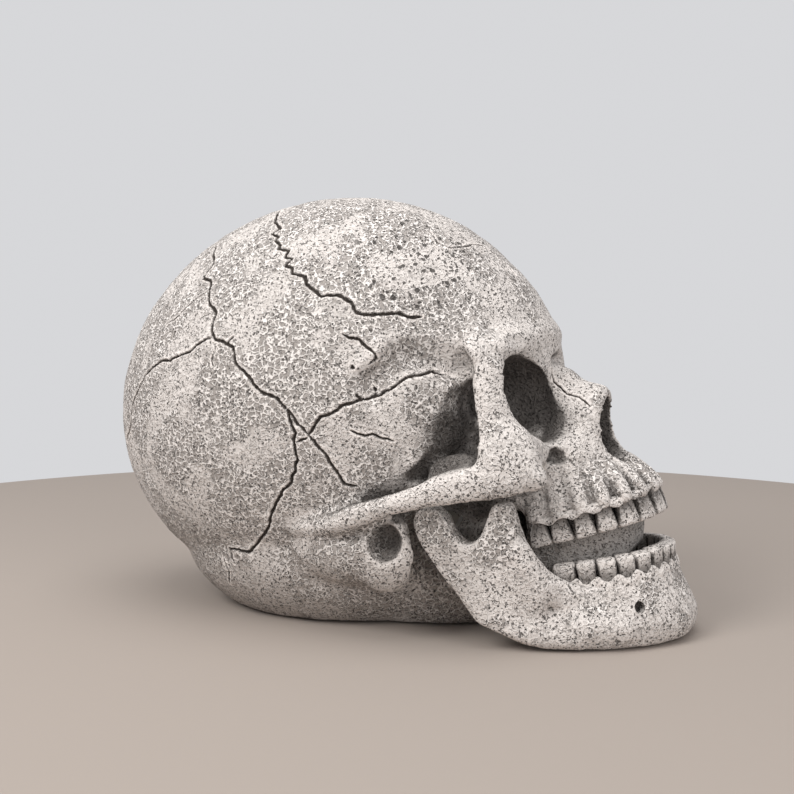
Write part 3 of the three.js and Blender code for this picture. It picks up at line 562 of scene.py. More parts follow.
class NodeSheet:
    """Adds and links shader nodes of one material."""

    def __init__(self, name: str) -> None:
        """Starts a material with a shader and an output."""
        self.material = bpy.data.materials.new(name)
        self.material.use_nodes = True
        self.tree = self.material.node_tree
        self.shader = self.tree.nodes["Principled BSDF"]

    def add(self, kind: str, inputs: dict | None = None, **settings: object) -> bpy.types.Node:
        """Adds a node.

        Args:
            kind: the node's type, without its common prefix.
            inputs: values or sockets for its inputs, by name or number.
            settings: the node's own settings.

        Returns:
            The new node.
        """
        node = self.tree.nodes.new("ShaderNode" + kind)
        for key, value in settings.items():
            setattr(node, key, value)
        for key, value in (inputs or {}).items():
            self._give(node.inputs[key], value)
        return node

    def math(self, operation: str, *values: object) -> bpy.types.NodeSocket:
        """Returns the result of a math node."""
        return self.add("Math", dict(enumerate(values)), operation=operation).outputs[0]

    def plus(self, first: object, second: object) -> bpy.types.NodeSocket:
        """Returns the sum of two values."""
        return self.math("ADD", first, second)

    def minus(self, first: object, second: object) -> bpy.types.NodeSocket:
        """Returns the difference of two values."""
        return self.math("SUBTRACT", first, second)

    def times(self, first: object, second: object) -> bpy.types.NodeSocket:
        """Returns the product of two values."""
        return self.math("MULTIPLY", first, second)

    def _give(self, socket: bpy.types.NodeSocket, value: object) -> None:
        """Sets an input to a value, or links it to another socket."""
        if isinstance(value, bpy.types.NodeSocket):
            self.tree.links.new(value, socket)
        else:
            socket.default_value = value

    def ramp(self, value: object, low: float, high: float) -> bpy.types.NodeSocket:
        """Returns a smooth rise of a value from 0 at low to 1 at high."""
        inputs = {"Value": value, "From Min": low, "From Max": high, "To Min": 0.0, "To Max": 1.0}
        return self.add("MapRange", inputs, interpolation_type="SMOOTHSTEP").outputs["Result"]

    def blend(self, share: object, first: object, second: object) -> bpy.types.NodeSocket:
        """Returns a colour between two others."""
        node = self.add("Mix", {0: share}, data_type="RGBA")
        self._give(node.inputs[6], first)
        self._give(node.inputs[7], second)
        return node.outputs[2]

    def noise(self, vector: object, size: float, detail: float) -> bpy.types.NodeSocket:
        """Returns a soft noise whose lumps are about as large as size."""
        inputs = {"Vector": vector, "Scale": 1.0 / size, "Detail": detail}
        return self.add("TexNoise", inputs).outputs["Fac"]

    def cells(self, vector: object, size: float, feature: str) -> bpy.types.Node:
        """Returns a node of scattered cells about as large as size."""
        return self.add("TexVoronoi", {"Vector": vector, "Scale": 1.0 / size}, feature=feature)

    def pits(self, vector: object, size: float, chance: float, blur: float) -> bpy.types.NodeSocket:
        """Returns 1 inside round pits of mixed size and 0 outside.

        Args:
            vector: the place.
            size: the distance between two pits.
            chance: the share of the cells that have one.
            blur: how far the edge fades outwards, as a share of size.
        """
        largest = 0.72
        edge = 0.06
        spots = self.cells(vector, size, "F1")
        radius = self.times(self.minus(spots.outputs["Color"], 1.0 - chance), largest)
        return self.ramp(self.minus(radius, spots.outputs["Distance"]), -blur, edge)

    def warped(self, vector: object, size: float, reach: float) -> bpy.types.NodeSocket:
        """Returns a place that is pushed about by a noise.

        Args:
            vector: the place.
            size: the size of the noise's lumps.
            reach: how far the place is pushed.
        """
        push = self.add("TexNoise", {"Vector": vector, "Scale": 1.0 / size, "Detail": 1.0}).outputs["Color"]
        push = self.add("VectorMath", {0: push, 1: (0.5, 0.5, 0.5)}, operation="SUBTRACT").outputs[0]
        push = self.add("VectorMath", {0: push, "Scale": 2.0 * reach}, operation="SCALE").outputs[0]
        return self.add("VectorMath", {0: vector, 1: push}, operation="ADD").outputs[0]

    def attribute(self, name: str) -> bpy.types.NodeSocket:
        """Returns a value that is stored on the points."""
        return self.add("Attribute", attribute_name=name).outputs["Fac"]

    def finish(self, colour: object, roughness: object, bump: object, depth: float) -> bpy.types.Material:
        """Links the shader's inputs and returns the material.

        Args:
            colour: the base colour.
            roughness: the roughness.
            bump: the height of the fine relief.
            depth: the height in metres that one unit of relief stands for.
        """
        for key, value in (("Base Color", colour), ("Roughness", roughness)):
            self._give(self.shader.inputs[key], value)
        relief = self.add("Bump", {"Strength": 1.0, "Distance": depth, "Height": bump})
        self.tree.links.new(relief.outputs["Normal"], self.shader.inputs["Normal"])
        return self.material


@dataclass(frozen=True)
class CastStone:
    """The weathered cast finish: pale worn ridges, painted shade and dirt in the recesses, pits and dark
    cracks.

    Tones are shares of reflected light. Sizes and places are millimetres.
    """

    name: str
    crest: float = 0.88
    pale: float = 0.65
    recess: float = 0.33
    dark: float = 0.05
    warmth: float = 0.05
    zone_size: float = 27.0
    cloud_size: float = 13.0
    grain_size: float = 1.2
    net_size: float = 2.9
    ring_size: float = 2.1
    pit_size: float = 1.7
    pit_chance: float = 0.67
    hole_size: float = 3.8
    hole_chance: float = 0.74
    open_patch: Triple = (38.0, -55.0, 213.0)
    face_from: Pair = (62.0, 92.0)
    low_darkening_from: Pair = (90.0, 8.0)
    roughness: float = 0.88
    relief: float = 1.8

    def _net(
        self, s: NodeSheet, mm: object, worn: object, face: object
    ) -> tuple[bpy.types.NodeSocket, bpy.types.NodeSocket]:
        """Returns the zones where the skin is netted, and the pale lines of the net.

        Args:
            s: the sheet to add to.
            mm: the place in millimetres.
            worn: the wear of the place.
            face: how far the place lies on the face.
        """
        zone = s.minus(s.noise(mm, self.zone_size, 2.0), s.times(worn, 0.10))
        net = s.ramp(s.minus(zone, s.times(face, 0.10)), 0.43, 0.51)
        wall = s.cells(s.warped(mm, 3.0, 1.5), self.net_size, "DISTANCE_TO_EDGE").outputs["Distance"]
        line = s.times(s.ramp(wall, 0.20, 0.07), s.ramp(s.noise(mm, 3.4, 1.0), 0.32, 0.45))
        return net, s.times(line, s.plus(0.4, s.times(net, 0.6)))

    def _pits(
        self, s: NodeSheet, mm: object, cloud: object
    ) -> tuple[bpy.types.NodeSocket, bpy.types.NodeSocket]:
        """Returns the pits and short grooves of the skin, darkened partly as painted shade, and the pale
        rims round the pits, which are a painted highlight.

        Args:
            s: the sheet to add to.
            mm: the place in millimetres.
            cloud: a soft noise that spreads the grooves unevenly.
        """
        ring = s.cells(s.warped(mm, 1.8, 1.1), self.ring_size, "DISTANCE_TO_EDGE").outputs["Distance"]
        groove = s.times(s.ramp(ring, 0.13, 0.03), s.ramp(s.noise(mm, 1.9, 1.0), 0.54, 0.63))
        groove = s.times(groove, s.plus(0.4, s.times(s.ramp(cloud, 0.4, 0.6), 0.5)))
        uneven = s.warped(mm, 1.2, 0.6)
        pit = s.math("MAXIMUM", s.pits(uneven, self.pit_size, self.pit_chance, 0.04), groove)
        rim = s.pits(uneven, self.pit_size, self.pit_chance, 0.26)
        away = s.add("VectorMath", {0: mm, 1: self.open_patch}, operation="DISTANCE").outputs["Value"]
        hole = s.pits(s.warped(mm, 2.4, 1.3), self.hole_size, self.hole_chance, 0.04)
        return s.math("MAXIMUM", pit, s.times(hole, s.ramp(away, 48.0, 30.0))), rim

    def build(self) -> bpy.types.Material:
        """Returns the material."""
        s = NodeSheet(self.name)
        place = s.add("TexCoord").outputs["Object"]
        mm = s.add("VectorMath", {0: place, "Scale": 1.0 / MM}, operation="SCALE").outputs[0]
        crack, dirt_and_shade, worn = (s.attribute(name) for name in ("crack", "dirt_and_shade", "worn"))
        axes = s.add("SeparateXYZ", {0: mm})
        face = s.ramp(axes.outputs["X"], *self.face_from)
        # Darker and warmer towards the bottom, outside the face.
        ground = s.times(s.ramp(axes.outputs["Z"], *self.low_darkening_from), s.minus(1.0, face))
        cloud = s.noise(mm, self.cloud_size, 3.0)
        grain = s.noise(mm, self.grain_size, 2.0)
        net, line = self._net(s, mm, worn, face)
        pit, rim = self._pits(s, mm, cloud)

        low = s.plus(s.times(net, 0.85), s.times(s.ramp(cloud, 0.58, 0.36), 0.35))
        low = s.plus(low, s.times(s.minus(grain, 0.5), 1.1))
        low = s.minus(low, s.times(worn, 0.35))
        colour = s.blend(s.ramp(low, 0.0, 1.0), self._tint(self.pale), self._tint(self.recess, 1.3))
        for share, tint in (
            (s.times(line, 0.9), self._tint(self.crest, 0.8)),
            # The pale rims round the pits are a painted highlight.
            (s.times(rim, 0.5), self._tint(self.crest)),
            (s.times(worn, 0.25), self._tint(self.crest * 0.92)),
            (s.times(ground, 0.5), self._tint(self.recess * 0.72, 2.2)),
            # The pits and grooves are darkened partly as painted shade.
            (s.times(pit, 0.9), self._tint(self.dark * 0.8, 2.0)),
            # Painted shade, with some dirt, darkens the hollows, creases, gaps and sheltered places marked
            # on the points.
            (s.times(dirt_and_shade, 0.88), self._tint(self.recess * 0.19, 2.0)),
            # Beside a crack the negative value paints a pale lip: a painted highlight.
            (s.times(crack, -0.8), self._tint(self.crest)),
            (crack, self._tint(self.dark * 1.5, 2.6)),
        ):
            colour = s.blend(share, colour, tint)

        height = s.minus(s.times(line, 0.6), pit)
        height = s.plus(height, s.times(grain, 0.3))
        height = s.plus(height, s.times(cloud, 0.8))
        s.shader.inputs["Specular IOR Level"].default_value = 0.25
        return s.finish(colour, self.roughness, height, self.relief * MM)

    def _tint(self, tone: float, warmer: float = 1.0) -> tuple[float, float, float, float]:
        """Returns a tone as a colour with the finish's warmth, or a multiple of it."""
        warmth = self.warmth * warmer
        return (tone * (1.0 + 1.5 * warmth), tone, tone * (1.0 - warmth), 1.0)


@dataclass(frozen=True)
class Fitting:
    """A fitting's finish: one colour with a fine grain and slight wear."""

    name: str
    colour: Triple
    roughness: float
    metallic: float = 0.0
    grain: float = 900.0

    def build(self) -> bpy.types.Material:
        """Returns the material."""
        s = NodeSheet(self.name)
        place = s.add("TexCoord").outputs["Object"]
        speck = s.add("TexNoise", {"Vector": place, "Scale": self.grain, "Detail": 3.0}).outputs["Fac"]
        patch = s.add("TexNoise", {"Vector": place, "Scale": 60.0, "Detail": 2.0}).outputs["Fac"]
        worn = tuple(0.8 * c for c in self.colour)
        colour = s.blend(s.ramp(patch, 0.35, 0.7), (*self.colour, 1.0), (*worn, 1.0))
        rough = s.math("ADD", self.roughness - 0.06, s.math("MULTIPLY", speck, 0.12))
        s.shader.inputs["Metallic"].default_value = self.metallic
        return s.finish(colour, rough, speck, 0.00008)


@dataclass
class ToothArch:
    """The line that a row of teeth stands on, seen from above in the row's own frame."""

    front_x: float
    front_z: float
    depth: float
    half_width: float
    tilt: float
    upright: bool
    lean: float = 0.0

    def front_share(self, x: float) -> float:
        """Returns how far a point is at the front of the arch, from 0 to 1."""
        return min(1.0, max(0.0, 1.0 + x / 24.0)) ** 2

    def to_world(self, x: float, y: float, z: float) -> Vector:
        """Returns a point of the row's frame in the skull's frame."""
        slope = math.radians(self.tilt)
        x -= self.lean * z * self.front_share(x)
        if self.upright:
            return Vector((self.front_x + x, y, self.front_z + z + x * math.tan(slope)))
        sine, cosine = math.sin(slope), math.cos(slope)
        return Vector((self.front_x + x * cosine - z * sine, y, self.front_z + x * sine + z * cosine))

    def line(self, inset: float, steps: int = 280) -> np.ndarray:
        """Returns points of the arch from the right back tooth round to the left one.

        Args:
            inset: how far inside the front of the crowns the line lies.
            steps: the number of steps along the arch.

        Returns:
            Rows of x, y and the two parts of the outward direction.
        """
        d, w = self.depth, self.half_width
        half = [(-d, w), (-0.55 * d, 0.94 * w), (-0.22 * d, 0.68 * w), (-0.05 * d, 0.3 * w)]
        corners = [(x, -y) for x, y in half] + [(0.0, 0.0)] + half[::-1]
        curve = np.array(rounded_path(corners, 24, closed=False))
        along = np.gradient(curve, axis=0)
        along /= np.linalg.norm(along, axis=1)[:, None]
        outward = np.stack([along[:, 1], -along[:, 0]], 1)
        curve = curve - inset * outward
        length = np.concatenate([[0.0], np.cumsum(np.linalg.norm(np.diff(curve, axis=0), axis=1))])
        even = np.linspace(0.0, length[-1], steps + 1)
        table = np.hstack([curve, outward])
        return np.stack([np.interp(even, length, table[:, k]) for k in range(4)], 1)

    def band(self, level: float, outset: float, thickness: float | None) -> np.ndarray:
        """Returns a closed loop round the arch at one level.

        Args:
            level: the height in the row's frame.
            outset: how far outside the front of the crowns the loop runs.
            thickness: the width of the band, or none for a loop that is closed across the back.
        """
        outer = [self.to_world(x, y, level) for x, y, _, _ in self.line(-outset, 90)]
        inner: list[Vector] = []
        if thickness is not None:
            inner = [self.to_world(x, y, level) for x, y, _, _ in self.line(thickness - outset, 90)]
        return np.array([*outer, *reversed(inner)])


UPPER_ARCH = ToothArch(168, 70, 69.5, 46, 16, False, 0.2)
LOWER_ARCH = ToothArch(172, 53.5, 60, 46, 10, True)
UPPER_WIDTHS = (12.5, 12, 11.5, 11.5, 12.5, 12.5, 12.5)
LOWER_WIDTHS = (12.6, 10.3, 10.2, 9.8, 9.4, 9.4, 7.4, 6.5)


def tooth_share(widths: Sequence[float]) -> np.ndarray:
    """Returns where each tooth of a row begins and ends, as shares of the arch from right to left."""
    edges = np.concatenate([[0.0], np.cumsum([*widths, *reversed(widths)])])
    return edges / edges[-1]


def tooth_wave(row: np.ndarray, widths: Sequence[float], sharpness: float = 2.0) -> np.ndarray:
    """Returns a wave along an arch that is 1 at the middle of each tooth and -1 between two.

    Args:
        row: the points of the arch.
        widths: the widths of the teeth of one side, back to front.
        sharpness: makes the dips between the teeth narrower.
    """
    edges = tooth_share(widths)
    count = np.interp(np.linspace(0.0, 1.0, len(row)), edges, np.arange(len(edges)))
    return 1.0 - 2.0 * np.abs(np.cos(np.pi * count)) ** sharpness


@dataclass(frozen=True)
class GumLip:
    """The ragged edge of bone that the crowns stand in, swept along a tooth arch.

    section holds the outset and the level of each corner, from the inside of the edge round to
    its outside. The edge waves by scallop between the teeth and stands out by ridge over them,
    and growth moves it away from the bite at the front.
    """

    arch: ToothArch
    widths: tuple[float, ...]
    section: tuple[Pair, ...]
    edge: float
    scallop: float
    ridge: float
    growth: float = 0.0
    edge_reach: float = 7.0
    end_steps: float = 12.0
    end_depth: float = 5.0

    def add(self, bm: bmesh.types.BMesh) -> None:
        """Adds the lip to a mesh as a closed sweep that sinks in at both ends."""
        corners = rounded_path(self.section, 3)
        wave = tooth_wave(self.arch.line(0.0), self.widths, 2.4)
        rows = [self.arch.line(-out) for out, _ in corners]
        loops = []
        for i, swell in enumerate(wave):
            shown = min(1.0, i / self.end_steps, (len(wave) - 1 - i) / self.end_steps)
            loop = []
            for (_, level), row in zip(corners, rows):
                near = max(0.0, 1.0 - abs(level - self.edge) / self.edge_reach)
                x, y, out_x, out_y = row[i]
                lump = 0.35 * noise.noise(Vector((x, y, level)) / 3.0)
                nick = 0.4 * noise.noise(Vector((x, y, 9.0)) / 2.5)
                push = self.ridge * swell - self.end_depth * (1.0 - shown) + lump
                rise = level + self.scallop * swell * near + nick * near
                rise += self.growth * self.arch.front_share(x) * near
                loop.append(self.arch.to_world(x + out_x * push, y + out_y * push, rise))
            loops.append(np.array(loop))
        skin_loops(bm, loops)


UPPER_LIP = GumLip(
    UPPER_ARCH, UPPER_WIDTHS,
    ((-6, 13.5), (0.6, 12.4), (1.7, 13), (1.7, 15), (0, 17.5), (-6, 18)), 12.4, 1.2, 1, 3.5,
)
LOWER_LIP = GumLip(
    LOWER_ARCH, LOWER_WIDTHS,
    ((-7, -12.2), (0.2, -10.8), (1.4, -12), (2, -14.5), (1, -18), (-7, -20)), -10.8, -1.7, 0.5,
)


@dataclass(frozen=True)
class Crack:
    """A crack in the skin, by points of x, distance out and z that lie near the surface."""

    path: tuple[Triple, ...]
    width: float = 1.1
    wander: float = 0.7
    sides: tuple[Side, ...] = (Side.RIGHT, Side.LEFT)
    bend: float = 4.0
    step: float = 0.4
    end_steps: float = 16.0

    def trail(self, tree: BVHTree, side: Side, seed: int) -> list[tuple[Vector, float]]:
        """Returns close points of the crack on the skin, each with the crack's width there.

        Args:
            tree: the skin to lay the crack on.
            side: the side of the head.
            seed: picks the crack's small bends.
        """
        corners = [side.out(*p) for p in self.path]
        bends = [corners[0]]
        for start, end in zip(corners, corners[1:]):
            parts = max(1, round((end - start).length / self.bend))
            for i in range(1, parts + 1):
                spot = start.lerp(end, i / parts)
                if i < parts:
                    shift = noise.noise_vector(spot / 2.7 + Vector((seed * 7.3, 0.0, 0.0)))
                    spot += shift * self.wander * 2.0
                bends.append(spot)
        spots = []
        for start, end in zip(bends, bends[1:]):
            parts = max(1, round((end - start).length / self.step))
            spots += [tree.find_nearest(start.lerp(end, i / parts))[0] for i in range(parts)]
        run = min(self.end_steps, len(spots) / 4.0)
        taper = [min(1.0, 0.4 + min(i, len(spots) - 1 - i) / run) for i in range(len(spots))]
        return [(spot, self.width * share) for spot, share in zip(spots, taper)]


CRACKS = (
    Crack(
        (
            (-64, 0, 247), (-64, 12, 246), (-62, 30, 241), (-56, 46, 234), (-48, 54, 229),
            (-52, 57, 226), (-46, 60, 224), (-47, 62, 222), (-42, 66, 219), (-42, 68, 217),
            (-35, 69, 216), (-36, 72, 212), (-31, 73, 211), (-34, 76, 207), (-29, 77, 206),
            (-28, 79, 203), (-20, 79, 201), (-18, 82, 197), (-8, 84, 190), (1, 82, 191), (9, 82, 187),
            (13, 83, 181), (21, 81, 180), (35, 75, 181), (39, 74, 179), (46, 70, 179),
        ),
        1.2, 0.3,
    ),
    Crack(
        (
            (7, 89, 170), (10, 88, 168), (16, 87, 167), (20, 87, 163), (25, 86, 159), (26, 86, 156),
            (22, 88, 153),
        ),
        1.0, 0.3,
    ),
    Crack(((13, 91, 153), (15, 91, 151)), 1.2, 0.0),
    Crack(
        (
            (-10, 97, 115), (-3, 96, 125), (3, 95, 127), (8, 94, 131), (15, 92, 133), (20, 90, 136),
            (26, 88, 139), (33, 85, 142), (41, 81, 148), (48, 77, 149), (53, 73, 151), (60, 69, 150),
        ),
        1.15, 0.4,
    ),
    Crack(((20, 90, 136), (16, 91, 138)), 1.0, 0.0),
    Crack(((26, 88, 139), (24, 89, 143)), 1.0, 0.0),
    Crack(((13, 92, 118), (20, 89, 115), (24, 88, 116), (28, 86, 114), (35, 83, 112)), 0.8, 0.4),
    Crack(
        (
            (-10, 97, 115), (-5, 95, 109), (-1, 94, 105), (1, 92, 100), (5, 89, 93), (7, 87, 88),
            (14, 85, 87),
        ),
        1.15, 0.5,
    ),
    Crack(
        (
            (-97, 40, 219), (-92, 54, 213), (-88, 62, 209), (-92, 67, 201), (-83, 73, 198),
            (-82, 78, 191), (-80, 82, 186), (-73, 85, 181), (-74, 89, 172), (-70, 92, 166),
            (-62, 94, 164), (-57, 95, 162), (-55, 97, 154), (-49, 98, 149), (-42, 99, 142),
            (-35, 100, 137), (-28, 99, 135), (-22, 99, 129), (-18, 99, 125), (-10, 97, 115),
        ),
        1.15, 0.6,
    ),
    Crack(((-62, 94, 164), (-57, 93, 168)), 0.8, 0.0),
    Crack(
        (
            (-22, 99, 129), (-17, 98, 116), (-18, 97, 109), (-17, 96, 101), (-22, 94, 88),
            (-28, 93, 83), (-33, 90, 76), (-37, 88, 70), (-41, 84, 61), (-50, 79, 51), (-58, 76, 43),
            (-73, 72, 43), (-70, 72, 34),
        ),
        1.1, 0.8,
    ),
    Crack(((-79, 70, 36), (-76, 69, 28), (-78, 64, 20)), 0.6, 0.6),
    Crack(((-17, 97, 111), (-10, 97, 114)), 0.9, 0.0),
    Crack(
        (
            (-73, 91, 167), (-81, 90, 164), (-88, 89, 159), (-97, 87, 156), (-105, 85, 153),
            (-112, 82, 153), (-117, 80, 150), (-127, 76, 144), (-137, 71, 131), (-142, 68, 123),
            (-145, 66, 112), (-154, 54, 101),
        ),
        1.0, 0.6,
    ),
    Crack(((-84, 76, 193), (-96, 76, 186), (-106, 76, 177), (-114, 73, 174)), 0.6, 0.5),
    Crack(((-69, 93, 162), (-71, 94, 154), (-69, 96, 150)), 0.6, 0.4),
    Crack(
        (
            (37, 35, 226), (43, 39, 220), (50, 36, 217), (55, 27, 218), (57, 20, 220), (61, 11, 219),
            (68, 8, 213), (75, 7, 207), (80, 8, 202),
        ),
        0.6, 0.5, (Side.RIGHT,),
    ),
    Crack(
        ((103, 15, 149), (105, 15, 142), (112, 14, 135), (119, 13, 133), (126, 13, 127)),
        0.6, 0.5, (Side.RIGHT,),
    ),
)


@dataclass
class SkullShell:
    """The skull without its jaw: brain case, face, hollows and cracks, as two halves.

    masses lie on the mid plane, and paired ones on both sides. gum holds the level and the outset
    of each ring over the upper teeth. fine_from and fine_levels bound the face, which gets finer
    faces, and muzzle is the box that the ridges over the tooth roots lie in.
    """

    mass_voxel: float = 1.8
    voxel: float = 1.6
    kept_faces: float = 0.66
    floor: float = 1.5
    slot_inside: float = 61.0
    slot_width: float = 18.5
    fine_from: float = 84.0
    fine_levels: Pair = (60.0, 162.0)
    muzzle: tuple[Triple, Triple] = ((96.0, -58.0, 52.0), (190.0, 58.0, 118.0))
    root_reach: float = 30.0
    root_level: float = 14.0
    root_front: Pair = (112.0, 150.0)
    crack_depth: float = 1.9
    crack_lip: float = 0.3
    crack_reach: float = 4.0
    crack_refining: Pair = (3.4, 2.0)
    pit_spacing: float = 6.5
    pit_radius: float = 0.26
    pit_depth: float = 0.8
    masses: tuple[Egg, ...] = (
        Egg((-40, 0, 127), (142, 100, 121), (0, -18, 0)),
        Egg((15, 0, 138), (91, 76, 93)),
        Egg((-34, 0, 40), (102, 78, 55)),
        Egg((14, 0, 38), (86, 56, 54)),
    )
    paired: tuple[Egg, ...] = (
        Egg((97, 62, 102), (14, 13, 15), (0, -10, -15)),
        Egg((107.5, 68, 94), (9, 8, 7), (0, -12, -30)),
        Egg((111, 69, 92), (5.5, 6, 4.5)),
        Egg((94, 52, 105), (17, 16, 13), (0, 0, -20)),
        Egg((95, 71, 106), (18, 9, 19), (24, 0, -35)),
        Egg((26, 77, 51), (20, 12, 24), (0, -10, 0)),
        Egg((60, 64, 95), (26, 18, 13)),
        Egg((3, 70, 50), (38, 18.5, 21)),
    )
    pillar: Limb = Limb(
        (
            (66, 54, 172, 7, 8),
            (75, 58, 162, 7, 10),
            (81, 61.5, 150, 6.5, 11),
            (83.5, 65, 137, 6, 10.5),
            (86, 66, 124, 6.5, 12),
            (91, 67, 111, 8, 14),
            (98, 68, 100, 9, 13),
        ),
        (0.74, -0.68, 0),
    )
    arch: Limb = Limb(
        (
            (107, 69, 96, 8, 8),
            (96, 76.5, 93.5, 6.5, 10),
            (80, 82.5, 91.5, 5.5, 10),
            (64, 84.5, 87.5, 5.2, 8.8),
            (46, 86.5, 82, 5.2, 6.6),
            (34, 88, 78, 5.4, 6.2),
            (18, 88.5, 72.5, 6, 6.8),
            (2, 87, 66, 7.5, 6.4),
            (-14, 82, 62, 8, 5),
            (-28, 78, 60, 8, 4),
        )
    )
    brow: Limb = Limb(
        (
            (73, 60, 158, 8, 9),
            (82, 53, 161.5, 8, 8.5),
            (87, 40, 164.5, 8, 8.5),
            (91.5, 22, 166, 8.5, 10),
            (95, 6, 166, 8.5, 11),
            (95, -6, 166, 8.5, 11),
        )
    )
    nose: Limb = Limb(
        (
            (88, 0, 158, 17, 10),
            (101, 0, 145.5, 13, 9),
            (113, 0, 135, 12, 9),
            (122, 0, 132, 11, 9.5),
            (132.5, 0, 131, 10, 8),
        )
    )
    orbit_rim: Limb = Limb(
        (
            (101, 11, 141, 5, 5),
            (104.5, 9.5, 130, 6, 6),
            (106.5, 11.5, 117, 6.5, 6.5),
            (106.5, 25, 105, 6.5, 6.5),
            (102, 43, 104.5, 6.5, 6.5),
            (96, 56, 113, 6, 6),
        )
    )
    nose_rim: Limb = Limb(
        (
            (131, 6, 136, 3.4, 3.4),
            (129, 12, 126, 3.4, 3.4),
            (127.5, 16, 111, 3.8, 3.8),
            (130, 16, 100.5, 4, 4),
            (135.5, 11.5, 94.5, 4, 4),
        )
    )
    face: Stack = Stack(
        (
            (156, 90, 68, 44, 16),
            (147, 98, 63, 45, 14),
            (137, 109, 42, 43, 8),
            (137, 118, 32, 27, 4),
            (138, 127, 26, 18, 0),
            (127, 137, 26, 14, 0),
        )
    )
    gum: tuple[Pair, ...] = ((13.2, 1.4), (15.5, 2), (21, 1), (28, -2.5), (36, -9))
    orbit: Bowl = Bowl(
        (
            (90.5, 62.5, 138), (91, 58.5, 150), (94, 48, 156.5), (98, 33, 154.5), (103, 20, 145),
            (106, 16, 130), (107, 18, 118), (106, 29, 110.5), (101.5, 43, 111), (95, 58, 122.5),
        ),
        (50, 22, 131), 2.2, 0.2, 0.09,
    )
    nostril: Bowl = Bowl(
        (
            (133, 0, 133), (132, 6, 131.5), (130, 11.5, 125), (129.5, 14.5, 112), (131.5, 14.5, 101.5),
            (137, 10, 95.5), (144, 0, 97.5), (137, -10, 95.5), (131.5, -14.5, 101.5),
            (129.5, -14.5, 112), (130, -11.5, 125), (132, -6, 131.5),
        ),
        (92, 0, 114), 2.2, 0.2, 0.05,
    )
    temple: Bowl = Bowl(
        (
            (71, 66, 146), (75, 71, 136), (77.5, 75, 122), (79, 81, 104), (62, 84, 97), (38, 87, 87),
            (32, 88, 91), (46, 84, 106), (53, 79, 124), (58, 74, 139),
        ),
        (70, 50, 113), 2.8, 0.2,
    )
    mound: Egg = Egg((66, 66, 94), (18, 11, 11), (0, -8, 0))
    spine: Egg = Egg((144, 0, 97), (7, 3.5, 3), (0, -20, 0))
    dent: Bowl = Bowl(((118, 41, 109.5), (112.5, 47, 98.5), (122, 38, 99.5)), (106, 34, 102), 2, 0.2)
    hollows: tuple[Egg, ...] = (
        Egg((30, 91, 57), (10, 17, 11)),
        Egg((70, 70, 67), (20, 24, 12), (0, 6, 0)),
    )
    jaw_room: tuple[Pair, ...] = (
        (38, 50), (40, 72), (50, 77), (66, 74), (84, 82), (100, 82),
        (116, 66), (130, 30), (130, -30), (56, -30),
    )
    dabs: tuple[Dab, ...] = (
        Dab((93, 46, 166), (10, 12, 6), (-2, -0.5, 0)),
        Dab((103, 0, 152.5), (16, 17, 7.5), (-3.4, 0, 0)),
    )
    strokes: tuple[Stroke, ...] = (
        Stroke(((20, 92, 154), (36, 84, 170), (53, 76, 172), (65, 70, 168), (74, 66, 159)), 7.5, 2.4),
        Stroke(((24, 90, 142), (38, 84, 156), (52, 78, 158), (64, 69, 152)), 14, -6),
        Stroke(((0, 86, 56), (12, 87, 58.5), (23, 87, 64.5), (35, 86, 70.5)), 5, -2.5),
    )
    shade_and_dirt_patches: tuple[ShadeAndDirtPatch, ...] = (
        ShadeAndDirtPatch((62, 66, 116), 20, 0.95),
        ShadeAndDirtPatch((62, 71, 103), 20, 0.95),
        ShadeAndDirtPatch((30, 80, 57), 13, 0.95),
        ShadeAndDirtPatch((72, 58, 68), 30, 1),
        ShadeAndDirtPatch((50, 62, 40), 20, 0.6),
        ShadeAndDirtPatch((46, 78, 62), 10, 0.7),
        ShadeAndDirtPatch((46, 80, 154), 22, 0.22),
        ShadeAndDirtPatch((114, 0, 113), 24, 0.7),
        ShadeAndDirtPatch((90, 38, 115), 19, 0.95),
    )
    cracks: tuple[Crack, ...] = CRACKS

    def _mass(self) -> Clay:
        """Returns the closed outer mass, before its hollows."""
        clay = Clay()
        for egg in self.masses:
            egg.add(clay.bm)
        for side in Side:
            for egg in self.paired:
                egg.add(clay.bm, side)
            for limb in (self.pillar, self.arch, self.brow, self.orbit_rim, self.nose_rim):
                limb.add(clay.bm, side)
        self.nose.add(clay.bm)
        self.face.add(clay.bm)
        skin_loops(clay.bm, [UPPER_ARCH.band(level, out, None) for level, out in self.gum])
        clay.fuse(self.mass_voxel)
        clay.smooth(7)
        return clay

    def _jaw_slot(self, side: Side) -> Clay:
        """Returns the room that the jaw's branch moves in as a cutting form."""
        tool = Clay()
        outline = [side.out(x, self.slot_inside, z) for x, z in self.jaw_room]
        add_prism(tool.bm, outline, Vector((0.0, side.value * self.slot_width, 0.0)))
        return tool

    def _form(self) -> Clay:
        """Returns the skull's skin with its hollows, before its cracks."""
        clay = self._mass()
        for side in Side:
            for hollow in (*self.hollows, self.temple, self.orbit, self.dent):
                tool = Clay()
                hollow.add(tool.bm, side)
                clay.cut(tool)
            clay.cut(self._jaw_slot(side))
        tool = Clay()
        self.nostril.add(tool.bm)
        clay.cut(tool)
        self.spine.add(clay.bm)
        for side in Side:
            self.mound.add(clay.bm, side)
        clay.fuse(self.voxel)
        clay.smooth(3)
        clay.sculpt(self.dabs, self.strokes)
        clay.level(self.floor)
        return clay

